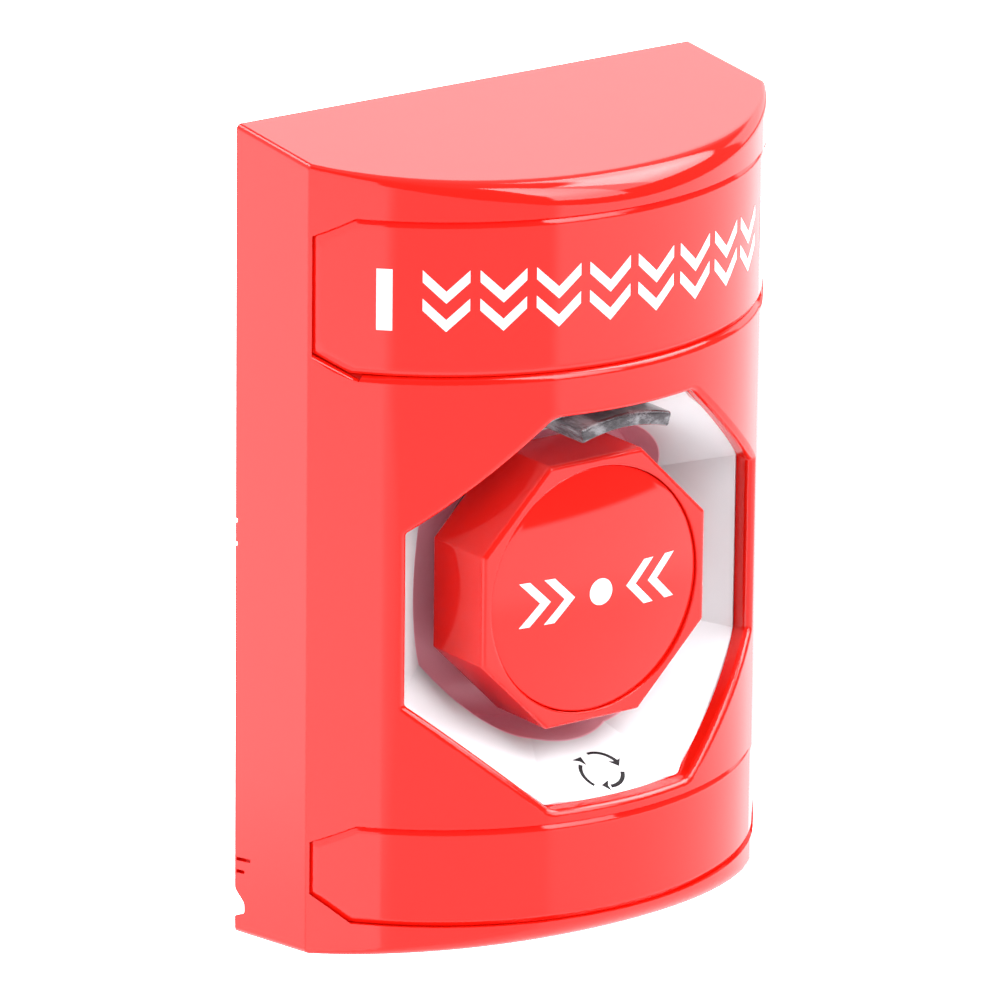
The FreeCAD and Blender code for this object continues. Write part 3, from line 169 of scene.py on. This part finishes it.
# the table: its far edge is a little higher at the left
edge = w.step(az, -12, 4, 1.0, -5.5)
table = w.step(w.math("SUBTRACT", el, edge), -0.5, 0.5, 1.0, 0.0)
pale = w.mix(w.step(az, 112, 135), w.step(el, -21, -15, 1.6, 2.15), w.step(el, -21, -15, 1.0, 1.5))
pale = w.mix(w.step(az, 3, 9), w.step(el, -20, -15, 1.28, 1.08), pale)
pale = w.mix(w.step(az, -56, -50, 1.0, 0.0), pale, w.step(el, -20.3, -19.2, 1.55, 2.12))
pale = w.mix(w.step(el, -62, -40, 1.0, 0.0), pale, 1.7)
light = w.mix(table, light, pale)
# the left panel and what is behind it
panel = w.math("MULTIPLY", w.band(az, -104, -55, 1.5), w.band(el, -42, 27, 8))
light = w.mix(panel, light, w.step(el, -19, -14.5, 2.58, 2.02))
# two softboxes with a dimmer gap between them
gap = w.math("MULTIPLY", w.band(az, 32, 51, 2), w.band(el, 28, 64, 2))
light = w.mix(gap, light, 2.8)
box_a = w.math("MULTIPLY", w.band(az, w.step(el, 30, 44, 6.0, 2.5), 34, 1.5), w.band(el, 15, 71, 2))
light = w.mix(box_a, light, w.math("MULTIPLY", w.step(el, 22, 44, 4.7, 7.6), w.step(az, 6, 30, 1.12, 0.86)))
foot = w.math("ADD", w.step(az, 84, 112, 28.5, 43.0, False), w.step(az, 112, 128, 0.0, 8.0, False))
box_b = w.math("MULTIPLY", w.band(az, w.step(el, 36, 60, 50.0, 46.0), 122, 2),
               w.math("MULTIPLY", w.step(w.math("SUBTRACT", el, foot), -1.0, 1.0), w.step(el, 62, 66, 1.0, 0.0)))
light = w.mix(box_b, light, w.math("MULTIPLY", w.step(az, 82, 112, 10.5, 6.2), w.step(el, 30, 50, 0.55, 1.0)))
# right wall and backdrop
right = w.math("MULTIPLY", w.band(az, 92, 126, 4), w.band(el, 0, 27, 4))
light = w.mix(right, light, 2.0)
back = w.math("MULTIPLY", w.math("MAXIMUM", w.step(az, 124, 128), w.step(az, -150, -146, 1.0, 0.0)),
              w.step(el, 32, 36, 1.0, 0.0))
light = w.mix(back, light, 2.05)
rear = w.math("MULTIPLY", w.step(az, -152, -148, 1.0, 0.0), w.band(el, 38, 50, 3))
light = w.mix(rear, light, 6.0)

seen = w.new("ShaderNodeLightPath").outputs["Is Camera Ray"]
light = w.mix(seen, light, 1.0)
ground = w.new("ShaderNodeBackground")
ground.inputs["Color"].default_value = (1.0, 1.0, 1.035, 1.0)
w.put(ground.inputs["Strength"], light)
w.put(w.new("ShaderNodeOutputWorld").inputs["Surface"], ground.outputs[0])
scene.view_settings.view_transform = "Standard"


# ---------------------------------------------------------------- materials
def material(name):
    m = bpy.data.materials.new(name)
    m.use_nodes = True
    t = Tree(m.node_tree)
    shader = t.new("ShaderNodeBsdfPrincipled")
    out = t.new("ShaderNodeOutputMaterial")
    t.put(out.inputs["Surface"], shader.outputs[0])
    where = t.new("ShaderNodeTexCoord").outputs["Object"]
    return m, t, shader, where


def vary(rgb, k):
    return tuple(min(1.0, c * k) for c in rgb)


def scaled(t, colour, factor):
    n = t.new("ShaderNodeVectorMath", operation="SCALE")
    t.put(n.inputs[0], colour)
    t.put(n.inputs["Scale"], factor)
    return n.outputs[0]


def plastic(name, rgb, rough=(0.04, 0.06), swing=0.03, wave=(260, 0.10, 0.00002), grain=None,
            ior=1.5, coat=None, patch=90, shape=None, spill=None, painted_well_glow=None):
    """Moulded plastic: faint colour drift, roughness that varies, slow waviness and, where grain is given, fine
    texture.
    spill: how much of the colour is thrown on other things. painted_well_glow: (colour, radius) of the round well about
    the button, where a mauve-red base colour and a faint red glow are painted in as painted bounce light in the well's
    shade."""
    m, t, shader, where = material(name)
    drift = t.noise(where, patch, 3.0, 0.55)
    base = t.colour(drift, [(0.3, vary(rgb, 1 - swing)), (0.7, vary(rgb, 1 + swing))])
    if spill is not None:
        path = t.new("ShaderNodeLightPath")
        away = t.math("MULTIPLY", path.outputs["Is Diffuse Ray"], t.step(path.outputs["Ray Length"], 0.0015, 0.0045))
        base = scaled(t, base, t.mix(away, 1.0, spill))
    if painted_well_glow is not None:
        deep = t.new("ShaderNodeSeparateXYZ")
        t.put(deep.inputs[0], where)
        across, along = deep.outputs[0], t.math("ADD", deep.outputs[2], 0.00725)
        radius = t.math("SQRT", t.math("ADD", t.math("MULTIPLY", across, across), t.math("MULTIPLY", along, along)))
        painted_light_mask = t.step(radius, painted_well_glow[1] - 0.00005, painted_well_glow[1] + 0.00005, 1.0, 0.0)
        painted_light_mask = t.math("MULTIPLY", painted_light_mask, t.math("LESS_THAN", deep.outputs[1], -0.0125))
        # painted light: inside the well a faint red glow and a mauve-red base colour are painted in, standing in for
        # red bounce light from the button in the well's shade
        shader.inputs["Emission Color"].default_value = (1.0, 0.18, 0.26, 1.0)
        t.put(shader.inputs["Emission Strength"], t.math("MULTIPLY", painted_light_mask, 0.085))
        n = t.new("ShaderNodeMix", data_type="RGBA")
        t.put(n.inputs[0], painted_light_mask)
        t.put(n.inputs[6], base)
        t.put(n.inputs[7], t.colour(t.noise(where, 200, 2.0), [(0.3, painted_well_glow[0]), (0.7, vary(painted_well_glow[0], 1.03))]))
        base = n.outputs[2]
    t.put(shader.inputs["Base Color"], base)
    t.put(shader.inputs["Roughness"], t.step(t.noise(where, 700, 3.0, 0.6), 0.35, 0.65, rough[0], rough[1]))
    normal = t.bump(t.noise(where, wave[0], 1.0, 0.4), wave[1], wave[2], shape(t, where) if shape else None)
    if grain:
        normal = t.bump(t.noise(where, grain[0], 3.0, 0.6), grain[1], grain[2], normal)
    t.put(shader.inputs["Normal"], normal)
    shader.inputs["IOR"].default_value = ior
    if coat:
        shader.inputs["Coat Weight"].default_value = coat[0]
        shader.inputs["Coat Roughness"].default_value = coat[1]
    return m


def metal(name, rgb, rough=(0.22, 0.34), stretch=(1, 1, 1), scale=900, bump=0.15, swing=0.06):
    m, t, shader, where = material(name)
    fine = t.noise(where, scale, 4.0, 0.65, stretch)
    t.put(shader.inputs["Base Color"], t.colour(t.noise(where, 120, 3.0), [(0.3, vary(rgb, 1 - swing)), (0.7, vary(rgb, 1 + swing))]))
    t.put(shader.inputs["Roughness"], t.step(fine, 0.3, 0.7, rough[0], rough[1]))
    t.put(shader.inputs["Normal"], t.bump(fine, bump, 0.00002))
    shader.inputs["Metallic"].default_value = 1.0
    return m


COVER_R, COVER_Y = 47.264, 6.614
CREST_TOP, CREST_LEAN = 60.993, 0.1097


def crest(t, where):
    """The smooth normal of the rolled upper rim: a ball that runs along the bow and shrinks towards the ends."""
    lean = math.atan(CREST_LEAN)
    sa, ca = math.sin(lean), math.cos(lean)
    split = t.new("ShaderNodeSeparateXYZ")
    t.put(split.inputs[0], where)
    x, y, z = (t.math("MULTIPLY", o, 1000.0) for o in split.outputs)
    turn = t.math("ARCTAN2", x, t.math("SUBTRACT", COVER_Y, y))
    for last in (False, False, False, True):
        r = t.step(t.math("ABSOLUTE", turn), 0.0, 1.0777, 4.3, 0.8)
        s, c = t.math("SINE", turn), t.math("COSINE", turn)
        k = t.math("SUBTRACT", COVER_R, r)
        cx, cy = t.math("MULTIPLY", s, k), t.math("SUBTRACT", COVER_Y, t.math("MULTIPLY", c, k))
        cz = t.math("MULTIPLY_ADD", cy, CREST_LEAN, t.math("SUBTRACT", CREST_TOP, t.math("DIVIDE", r, ca)))
        ex, ey, ez = (t.math("SUBTRACT", a, b) for a, b in ((x, cx), (y, cy), (z, cz)))
        if not last:
            off = t.math("MULTIPLY_ADD", ex, c, t.math("MULTIPLY_ADD", ey, s, t.math("MULTIPLY", ez, t.math("MULTIPLY", s, CREST_LEAN))))
            turn = t.math("MULTIPLY_ADD", t.math("DIVIDE", off, k), 0.9, turn)
    ball = t.new("ShaderNodeCombineXYZ")
    for socket, e in zip(ball.inputs, (ex, ey, ez)):
        t.put(socket, e)
    size = t.new("ShaderNodeVectorMath", operation="LENGTH")
    t.put(size.inputs[0], ball.outputs[0])
    away = size.outputs["Value"]
    unit = t.new("ShaderNodeVectorMath", operation="NORMALIZE")
    t.put(unit.inputs[0], ball.outputs[0])
    least = t.math("MULTIPLY", t.math("MULTIPLY", c, sa), away)
    up = t.math("SUBTRACT", t.math("MULTIPLY", ez, ca), t.math("MULTIPLY", ey, sa))
    out = t.math("SUBTRACT", t.math("MULTIPLY", s, ex), t.math("MULTIPLY", c, ey))
    on = t.math("MULTIPLY", t.math("GREATER_THAN", up, least), t.math("GREATER_THAN", out, least))
    on = t.math("MULTIPLY", on, t.math("LESS_THAN", t.math("ABSOLUTE", t.math("SUBTRACT", away, r)), 0.35))
    on = t.math("MULTIPLY", on, t.math("LESS_THAN", y, -15.0))
    on = t.math("MULTIPLY", on, t.step(t.math("ABSOLUTE", x), 38.6, 39.4, 1.0, 0.0))
    # the slanted lips at the upper pocket's lower corners are rolled a little towards the middle
    flat = t.new("ShaderNodeNewGeometry").outputs["Normal"]
    lean_z = t.new("ShaderNodeSeparateXYZ")
    t.put(lean_z.inputs[0], flat)
    lip = t.math("MULTIPLY", t.math("GREATER_THAN", lean_z.outputs[2], 0.2), t.math("LESS_THAN", y, -12.0))
    lip = t.math("MULTIPLY", lip, t.math("LESS_THAN", t.math("ABSOLUTE", t.math("SUBTRACT", z, 30.2)), 2.6))
    lip = t.math("MULTIPLY", lip, t.step(t.math("ABSOLUTE", x), 32.4, 34.4))
    roll = t.new("ShaderNodeCombineXYZ")
    t.put(roll.inputs[0], t.math("MULTIPLY", t.math("MULTIPLY", lip, t.math("SIGN", x)), -0.29))
    rolled_lip = t.new("ShaderNodeVectorMath", operation="ADD")
    t.put(rolled_lip.inputs[0], flat)
    t.put(rolled_lip.inputs[1], roll.outputs[0])
    even = t.new("ShaderNodeVectorMath", operation="NORMALIZE")
    t.put(even.inputs[0], rolled_lip.outputs[0])
    n = t.new("ShaderNodeMix", data_type="VECTOR")
    t.put(n.inputs[0], on)
    t.put(n.inputs[4], even.outputs[0])
    t.put(n.inputs[5], unit.outputs[0])
    return n.outputs[1]


def rolled(t, where):
    """Moulded edges: the normal turns over a small round instead of a hard corner."""
    n = t.new("ShaderNodeBevel")
    n.samples = 8
    n.inputs["Radius"].default_value = 0.00045
    return n.outputs[0]


RED = (0.90, 0.0100, 0.0042)
made = {
    "red_housing": plastic("red_housing_gloss", RED, shape=crest, spill=0.22),
    "red_label": plastic("red_label_gloss", RED, spill=0.22),
    "red_button": plastic("red_button_gloss", RED, shape=rolled, spill=0.22),
    "red_disc": plastic("red_disc_gloss", RED, rough=(0.03, 0.045), spill=0.22),
    "white_insert": plastic("white_insert_satin", (0.86, 0.86, 0.865), rough=(0.30, 0.38), swing=0.008,
                            wave=(300, 0.10, 0.00002), grain=(4200, 0.12, 0.00001),
                            # painted bounce light: the mauve-red colour and the glow in the round well stand in for the
                            # button's red light in its shade
                            painted_well_glow=((1.0, 0.56, 0.64), 0.0241)),
    "black_plastic": plastic("black_moulded", (0.030, 0.030, 0.034), rough=(0.38, 0.52), swing=0.15,
                             grain=(3800, 0.25, 0.00002)),
    "grey_plastic": plastic("grey_filled_nylon", (0.25, 0.26, 0.27), rough=(0.42, 0.58), swing=0.10,
                            grain=(3000, 0.35, 0.00003)),
    "rubber_seal": plastic("rubber_ring", (0.040, 0.040, 0.041), rough=(0.62, 0.80), swing=0.12,
                           grain=(2600, 0.35, 0.00003)),
    "red_contact_block": plastic("red_block_moulded", (0.55, 0.03, 0.03), rough=(0.30, 0.42), swing=0.06,
                                 grain=(3600, 0.25, 0.00002)),
    "green_contact_block": plastic("green_block_moulded", (0.03, 0.35, 0.10), rough=(0.30, 0.42), swing=0.06,
                                   grain=(3600, 0.25, 0.00002)),
    "clear_lid": plastic("frosted_lid", (0.46, 0.47, 0.49), rough=(0.22, 0.34), swing=0.03,
                         grain=(3600, 0.15, 0.00002)),
    "white_nylon": plastic("white_nylon", (0.62, 0.62, 0.60), rough=(0.34, 0.46), swing=0.02,
                           grain=(3400, 0.20, 0.00002)),
    "led_body": plastic("lamp_body", (0.92, 0.90, 0.80), rough=(0.10, 0.16), swing=0.03),
    "green_connector": plastic("green_connector_moulded", (0.05, 0.32, 0.14), rough=(0.34, 0.46), swing=0.06,
                               grain=(3600, 0.25, 0.00002)),
    "spring_steel": metal("spring_steel_drawn", (0.55, 0.56, 0.58), rough=(0.18, 0.28), stretch=(1, 6, 1)),
    "zinc_steel": metal("zinc_plated_steel", (0.40, 0.41, 0.42), rough=(0.26, 0.40), scale=600),
    "contact_brass": metal("contact_brass_stamped", (0.80, 0.60, 0.30), rough=(0.20, 0.32)),
    "green_screw": metal("green_passivated_screw", (0.10, 0.42, 0.18), rough=(0.25, 0.36)),
}


def circuit_board():
    m, t, shader, where = material("solder_mask")
    tracks = t.new("ShaderNodeTexBrick")
    t.put(tracks.inputs["Vector"], where)
    tracks.inputs["Scale"].default_value = 420
    tracks.inputs["Mortar Size"].default_value = 0.06
    tracks.inputs["Color1"].default_value = (0.018, 0.16, 0.055, 1)
    tracks.inputs["Color2"].default_value = (0.026, 0.20, 0.070, 1)
    tracks.inputs["Mortar"].default_value = (0.05, 0.30, 0.11, 1)
    t.put(shader.inputs["Base Color"], tracks.outputs["Color"])
    t.put(shader.inputs["Roughness"], t.step(t.noise(where, 900, 3.0), 0.3, 0.7, 0.22, 0.34))
    t.put(shader.inputs["Normal"], t.bump(tracks.outputs["Fac"], 0.3, 0.00003))
    return m


def smoked_lens():
    m, t, shader, where = material("smoked_clear_plastic")
    streak = t.noise(where, 330, 5.0, 0.70, (1.0, 0.30, 1.6))
    t.put(shader.inputs["Base Color"], t.colour(streak, [(0.38, (0.07, 0.055, 0.062)), (0.50, (0.20, 0.175, 0.19)), (0.64, (0.62, 0.60, 0.62))]))
    t.put(shader.inputs["Roughness"], t.step(t.noise(where, 500, 3.0), 0.3, 0.7, 0.02, 0.08))
    edge = t.new("ShaderNodeBevel")
    edge.samples = 8
    edge.inputs["Radius"].default_value = 0.0005
    t.put(shader.inputs["Normal"], t.bump(t.noise(where, 420, 3.0, 0.6, (1.0, 0.5, 1.3)), 0.6, 0.00010, edge.outputs[0]))
    shader.inputs["Transmission Weight"].default_value = 0.55
    shader.inputs["IOR"].default_value = 1.49
    return m


made["circuit_board"] = circuit_board()
made["smoked_lens"] = smoked_lens()
ink_white = plastic("white_ink_gloss", (0.93, 0.93, 0.94), rough=(0.08, 0.12), swing=0.01)
ink_dark = plastic("dark_ink", (0.022, 0.020, 0.021), rough=(0.55, 0.70), swing=0.25, patch=600, ior=1.22)

slot_of = {}
for name, obj in nodes.items():
    for s in obj.material_slots:
        slot_of.setdefault(name, s.material.name.split(".")[0])
for name, obj in nodes.items():
    for s in obj.material_slots:
        s.material = made[s.material.name.split(".")[0]]


# ---------------------------------------------------------------- mesh helpers, in millimetres
def piece(name, points, faces, mat, body, smooth=True, normals=None):
    mesh = bpy.data.meshes.new(name)
    mesh.from_pydata([Vector(p) * 0.001 for p in points], [], faces)
    mesh.validate()
    mesh.update()
    mesh.materials.append(mat)
    mesh.polygons.foreach_set("use_smooth", [smooth] * len(mesh.polygons))
    if normals:
        mesh.normals_split_custom_set_from_vertices(normals)
    obj = bpy.data.objects.new(name, mesh)
    scene.collection.objects.link(obj)
    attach(obj, body)
    return obj


def sharpen(obj, degrees):
    """Edges that turn by more than this are kept sharp."""
    import bmesh
    b = bmesh.new()
    b.from_mesh(obj.data)
    bmesh.ops.recalc_face_normals(b, faces=b.faces)
    for e in b.edges:
        if len(e.link_faces) == 2 and e.calc_face_angle(0.0) > math.radians(degrees):
            e.smooth = False
    b.to_mesh(obj.data)
    b.free()
    obj.data.update()


def inset(poly, k):
    """A convex outline moved inward by k, corner by corner."""
    out = []
    n = len(poly)
    area = sum(poly[i][0] * poly[(i + 1) % n][1] - poly[(i + 1) % n][0] * poly[i][1] for i in range(n))
    sign = 1.0 if area > 0 else -1.0
    for i in range(n):
        p, q, r = Vector(poly[i - 1]), Vector(poly[i]), Vector(poly[(i + 1) % n])
        a, b = (q - p).normalized(), (r - q).normalized()
        na, nb = Vector((-a.y, a.x)) * sign, Vector((-b.y, b.x)) * sign
        m = (na + nb).normalized()
        out.append(q + m * (k / m.dot(na)))
    return out


def plate(name, node, end_x, end_low, end_high, top_x, top_z, low_x, low_z):
    """A bowed strip with a bevelled rim, following the housing's cylinder."""
    around = [(-end_x, end_low), (-low_x, low_z), (low_x, low_z), (end_x, end_low),
              (end_x, end_high), (top_x, top_z), (-top_x, top_z), (-end_x, end_high)]
    gap = 0.07
    rings = [(0.0, 1.09), (0.0, 0.70), (0.03, 0.66)]                            # (inset, depth)
    flat, curve, slope = 0.62, 0.42, 0.52
    rings += [(0.03 + flat * i / 3, 0.66 - slope * flat * i / 3) for i in (1, 2, 3)]
    depth = 0.66 - slope * flat
    start = 0.03 + flat
    for i in range(1, 9):
        s = i / 8
        rings.append((start + curve * s, depth - slope * curve * (s - s * s / 2)))
    face_depth = rings[-1][1]
    rings.append((rings[-1][0] + 0.25, face_depth))
    cols, diag, rows = 96, 6, 14

    def chain(p0, p1, p2, p3):
        pts = [p0.lerp(p1, i / diag) for i in range(diag)]
        a0, a1 = math.asin(p1.x / COVER_R), math.asin(p2.x / COVER_R)
        for i in range(cols + 1):
            x = COVER_R * math.sin(a0 + (a1 - a0) * i / cols)
            pts.append(Vector((x, p1.y + (p2.y - p1.y) * (x - p1.x) / (p2.x - p1.x))))
        pts += [p2.lerp(p3, i / diag) for i in range(1, diag + 1)]
        return pts

    points, loops = [], []

    def place(p, d):
        points.append((p.x, COVER_Y - math.sqrt((COVER_R - d) ** 2 - p.x ** 2), p.y))
        return len(points) - 1

    for k, d in rings:
        c = inset(around, gap + k)
        low = chain(c[0], c[1], c[2], c[3])
        high = chain(c[7], c[6], c[5], c[4])
        loop = [place(p, d) for p in low]
        loop += [place(low[-1].lerp(high[-1], j / rows), d) for j in range(1, rows)]
        loop += [place(p, d) for p in reversed(high)]
        loop += [place(high[0].lerp(low[0], j / rows), d) for j in range(1, rows)]
        loops.append(loop)
    faces = []
    for a, b in zip(loops, loops[1:]):
        n = len(a)
        faces += [(a[i], a[(i + 1) % n], b[(i + 1) % n], b[i]) for i in range(n)]

    def fill(loop, k, d, flip):
        c = inset(around, gap + k)
        low = chain(c[0], c[1], c[2], c[3])
        high = chain(c[7], c[6], c[5], c[4])
        n = len(low)
        grid = [[None] * (rows + 1) for _ in range(n)]
        for i in range(n):
            grid[i][0] = loop[i]
            grid[i][rows] = loop[n - 1 + rows + (n - 1 - i)]
        for j in range(1, rows):
            grid[n - 1][j] = loop[n - 1 + j]
            grid[0][j] = loop[2 * n - 2 + rows + (rows - j)]
        for i in range(1, n - 1):
            for j in range(1, rows):
                grid[i][j] = place(low[i].lerp(high[i], j / rows), d)
        for i in range(n - 1):
            for j in range(rows):
                q = (grid[i][j], grid[i + 1][j], grid[i + 1][j + 1], grid[i][j + 1])
                faces.append(q[::-1] if flip else q)

    fill(loops[-1], rings[-1][0], face_depth, False)
    fill(loops[0], 0.0, rings[0][1], True)
    obj = piece(name, points, faces, made["red_label"], "root")
    sharpen(obj, 22)
    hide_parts(node)
    return obj


plate("label_strip_upper", "label_plate", 40.2, 31.7, 48.75, 36.4, 51.95, 36.6, 29.0)
plate("label_strip_lower", "lower_label_plate", 40.2, -49.7, -41.75, 36.05, -38.55, 36.55, -53.45)


def slabs(name, shapes, onto, mat, body, above=0.03, below=0.06):
    """Thin raised print. shapes: rows of ((u, v), (u, v)) pairs, the two edges of a stroke. onto(u, v, lift) gives a point."""
    points, faces = [], []
    for row in shapes:
        first = len(points)
        for (a, b) in row:
            points += [onto(*a, above), onto(*b, above), onto(*a, -below), onto(*b, -below)]
        n = len(row)
        for i in range(n - 1):
            p, q = first + 4 * i, first + 4 * (i + 1)
            faces += [(p, p + 1, q + 1, q), (p + 2, q + 2, q + 3, p + 3),
                      (p, q, q + 2, p + 2), (p + 1, p + 3, q + 3, q + 1)]
        p, q = first, first + 4 * (n - 1)
        faces += [(p, p + 2, p + 3, p + 1), (q, q + 1, q + 3, q + 2)]
    obj = piece(name, points, faces, mat, body)
    sharpen(obj, 30)
    return obj


def stroke(a, b, c, d, n):
    """A band from edge a-b to edge c-d in n steps."""
    a, b, c, d = map(Vector, (a, b, c, d))
    return [(tuple(a.lerp(c, i / n)), tuple(b.lerp(d, i / n))) for i in range(n + 1)]


FACE_R = COVER_R - 0.2


def on_label(u, v, lift):
    t = u / FACE_R
    r = FACE_R + lift
    return (r * math.sin(t), COVER_Y - r * math.cos(t), v)


marks = []
low, tall, half, thick, drop = 35.85, 9.0, 3.35, 1.75, 3.1
for i in range(8):
    u = (i - 3.5) * 8.15
    for base in (low, low + tall - drop - thick):
        # one chevron, pointing down: left arm and right arm share the line under the point
        left = stroke((u - half, base + drop), (u - half, base + drop + thick), (u, base), (u, base + thick), 8)
        right = stroke((u, base), (u, base + thick), (u + half, base + drop), (u + half, base + drop + thick), 8)
        marks.append(left + right[1:])
for s in (-1, 1):
    c = s * 37.3
    marks.append(stroke((c - 1.15, low), (c + 1.15, low), (c - 1.15, low + tall), (c + 1.15, low + tall), 4))
slabs("label_print", marks, on_label, ink_white, "root")

# ---------------------------------------------------------------- button face, a shallow dome
DISC_Z, DISC_R, DOME_R = -7.25, 18.35, 92.0
RIM_Y = -31.85


def dome_y(r):
    return RIM_Y - (math.sqrt(DOME_R ** 2 - r * r) - math.sqrt(DOME_R ** 2 - 18.05 ** 2))


def disc():
    spokes = 144
    rings = []                                                                  # (r, y)
    rings += [(DISC_R, -31.22), (DISC_R, -31.55)]
    cr = 0.30
    base_tilt = math.asin(18.05 / DOME_R)
    for i in range(0, 9):
        a = i / 8 * (math.pi / 2 - base_tilt)
        rings.append((18.05 + cr * math.cos(a), (RIM_Y + cr * math.cos(base_tilt)) - cr * math.sin(a)))
    rings += [(r, dome_y(r)) for r in [18.05 * math.sqrt(1 - i / 22) for i in range(1, 22)]]
    points, faces, loops = [], [], []
    for r, y in rings:
        loops.append([len(points) + i for i in range(spokes)])
        for i in range(spokes):
            t = 2 * math.pi * i / spokes
            points.append((r * math.cos(t), y, DISC_Z + r * math.sin(t)))
    for a, b in zip(loops, loops[1:]):
        faces += [(a[i], a[(i + 1) % spokes], b[(i + 1) % spokes], b[i]) for i in range(spokes)]
    tip = len(points)
    points.append((0.0, dome_y(0.0), DISC_Z))
    faces += [(loops[-1][i], loops[-1][(i + 1) % spokes], tip) for i in range(spokes)]
    back = len(points)
    points.append((0.0, -31.22, DISC_Z))
    faces += [(loops[0][(i + 1) % spokes], loops[0][i], back) for i in range(spokes)]
    obj = piece("button_face", points, faces, made["red_disc"], "button_head")
    sharpen(obj, 40)
    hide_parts("button_face_disc")
    return obj


disc()


def on_disc(u, v, lift):
    r = math.hypot(u, v)
    return (u, dome_y(r) - lift, DISC_Z + v)


marks = []
for s in (-1, 1):
    for tip in (4.6, 8.7):
        # inward chevrons: the point towards the middle
        tip_u, arm, wide, high = s * tip, s * 3.4, s * 1.75, 3.35
        up = stroke((tip_u + arm, high), (tip_u + arm + wide, high), (tip_u, 0.0), (tip_u + wide, 0.0), 8)
        dn = stroke((tip_u, 0.0), (tip_u + wide, 0.0), (tip_u + arm, -high), (tip_u + arm + wide, -high), 8)
        marks.append(up + dn[1:])
dot = []
for i in range(25):
    t = math.pi * i / 24
    dot.append(((-2.0 * math.cos(t), 2.0 * math.sin(t)), (-2.0 * math.cos(t), -2.0 * math.sin(t))))
dot[0] = ((-2.0, 0.02), (-2.0, -0.02))
dot[-1] = ((2.0, 0.02), (2.0, -0.02))
marks.append(dot)
slabs("button_print", marks, on_disc, ink_white, "button_head")

# ---------------------------------------------------------------- turn-to-reset arrows on the lower facet
NORM = math.hypot(1, 0.57)
E1, E2, UP = Vector((1, 0, 0)), Vector((0, 1, 0.57)) / NORM, Vector((0, -0.57, 1)) / NORM
MID = Vector((0.6, -33.5, -34.641))


def on_facet(u, v, lift):
    return MID + E1 * u + E2 * v + UP * lift


def arc(r0, r1, a0, a1, wide0, wide1, n=22):
    row = []
    for i in range(n + 1):
        s = i / n
        a = math.radians(a0 + (a1 - a0) * s)
        r, wd = r0 + (r1 - r0) * s, (wide0 + (wide1 - wide0) * s) / 2
        row.append((((r + wd) * math.cos(a), (r + wd) * math.sin(a)), ((r - wd) * math.cos(a), (r - wd) * math.sin(a))))
    return row


def head(tip, a, b):
    """An arrow head with a shallow notch behind."""
    tip, a, b = Vector(tip), Vector(a), Vector(b)
    notch = (a + b) / 2 + (tip - (a + b) / 2) * 0.22
    return [(tuple(tip), tuple(tip.lerp(notch, 0.02))), (tuple(a), tuple(notch)), ] , [(tuple(tip), tuple(tip.lerp(notch, 0.02))), (tuple(b), tuple(notch))]


marks = [arc(3.55, 3.55, 95, 19, 0.44, 0.62), arc(3.3, 3.1, -18, -94, 0.66, 0.62), arc(3.5, 3.15, 220, 144, 0.50, 0.62)]
for tip, a, b in (((3.28, 0.07), (2.08, 1.35), (4.28, 1.45)), ((-1.55, -2.55), (-0.03, -1.94), (-0.63, -3.9)),
                  ((-1.65, 3.25), (-3.31, 3.02), (-1.64, 1.55))):
    marks += head(tip, a, b)
slabs("reset_arrows", marks, on_facet, ink_dark, "root", 0.02, 0.05)

# ---------------------------------------------------------------- return spring, a plain coil at one length
def coil(name, node, front, back, turns, mean_r, wire_r):
    steps, sides = 36 * turns, 14
    slope = (back - front) / (2 * math.pi * mean_r * turns)
    up = Vector((0.0, 1.0, 0.0))
    points, faces = [], []
    for i in range(steps + 1):
        a = 2 * math.pi * i / 36
        out = Vector((math.cos(a), 0.0, math.sin(a)))
        along = (Vector((-math.sin(a), 0.0, math.cos(a))) + up * slope).normalized()
        over = along.cross(out)
        at = out * mean_r + Vector((0.0, front + (back - front) * i / steps, DISC_Z))
        for k in range(sides):
            b = 2 * math.pi * k / sides
            points.append(at + out * (wire_r * math.cos(b)) + over * (wire_r * math.sin(b)))
    for i in range(steps):
        for k in range(sides):
            p, q = i * sides + k, i * sides + (k + 1) % sides
            faces.append((p, q, q + sides, p + sides))
    faces += [tuple(range(sides)), tuple(steps * sides + k for k in reversed(range(sides)))]
    obj = piece(name, points, faces, made["spring_steel"], "root")
    sharpen(obj, 50)
    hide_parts(node)
    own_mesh(obj)
    return obj


coil("return_coil", "return_spring", -22.47, -12.53, 5, 6.9, 0.49)

# ---------------------------------------------------------------- floor
size = 6.0
mesh = bpy.data.meshes.new("floor")
mesh.from_pydata([(-size, -size, -0.3), (size, -size, -0.3), (size, size, -0.3), (-size, size, -0.3)], [], [(0, 1, 2, 3)])
m, t, shader, where = material("floor_paper")
t.put(shader.inputs["Base Color"], t.colour(t.noise(where, 40, 3.0), [(0.3, (0.90, 0.90, 0.90)), (0.7, (0.93, 0.93, 0.93))]))
shader.inputs["Roughness"].default_value = 0.9
shader.inputs["Emission Color"].default_value = (1.0, 1.0, 1.0, 1.0)
shader.inputs["Emission Strength"].default_value = 1.0
mesh.materials.append(m)
floor = bpy.data.objects.new("floor", mesh)
scene.collection.objects.link(floor)
floor.visible_diffuse = floor.visible_glossy = floor.visible_transmission = floor.visible_shadow = False

# ---------------------------------------------------------------- the end
bpy.context.view_layer.update()
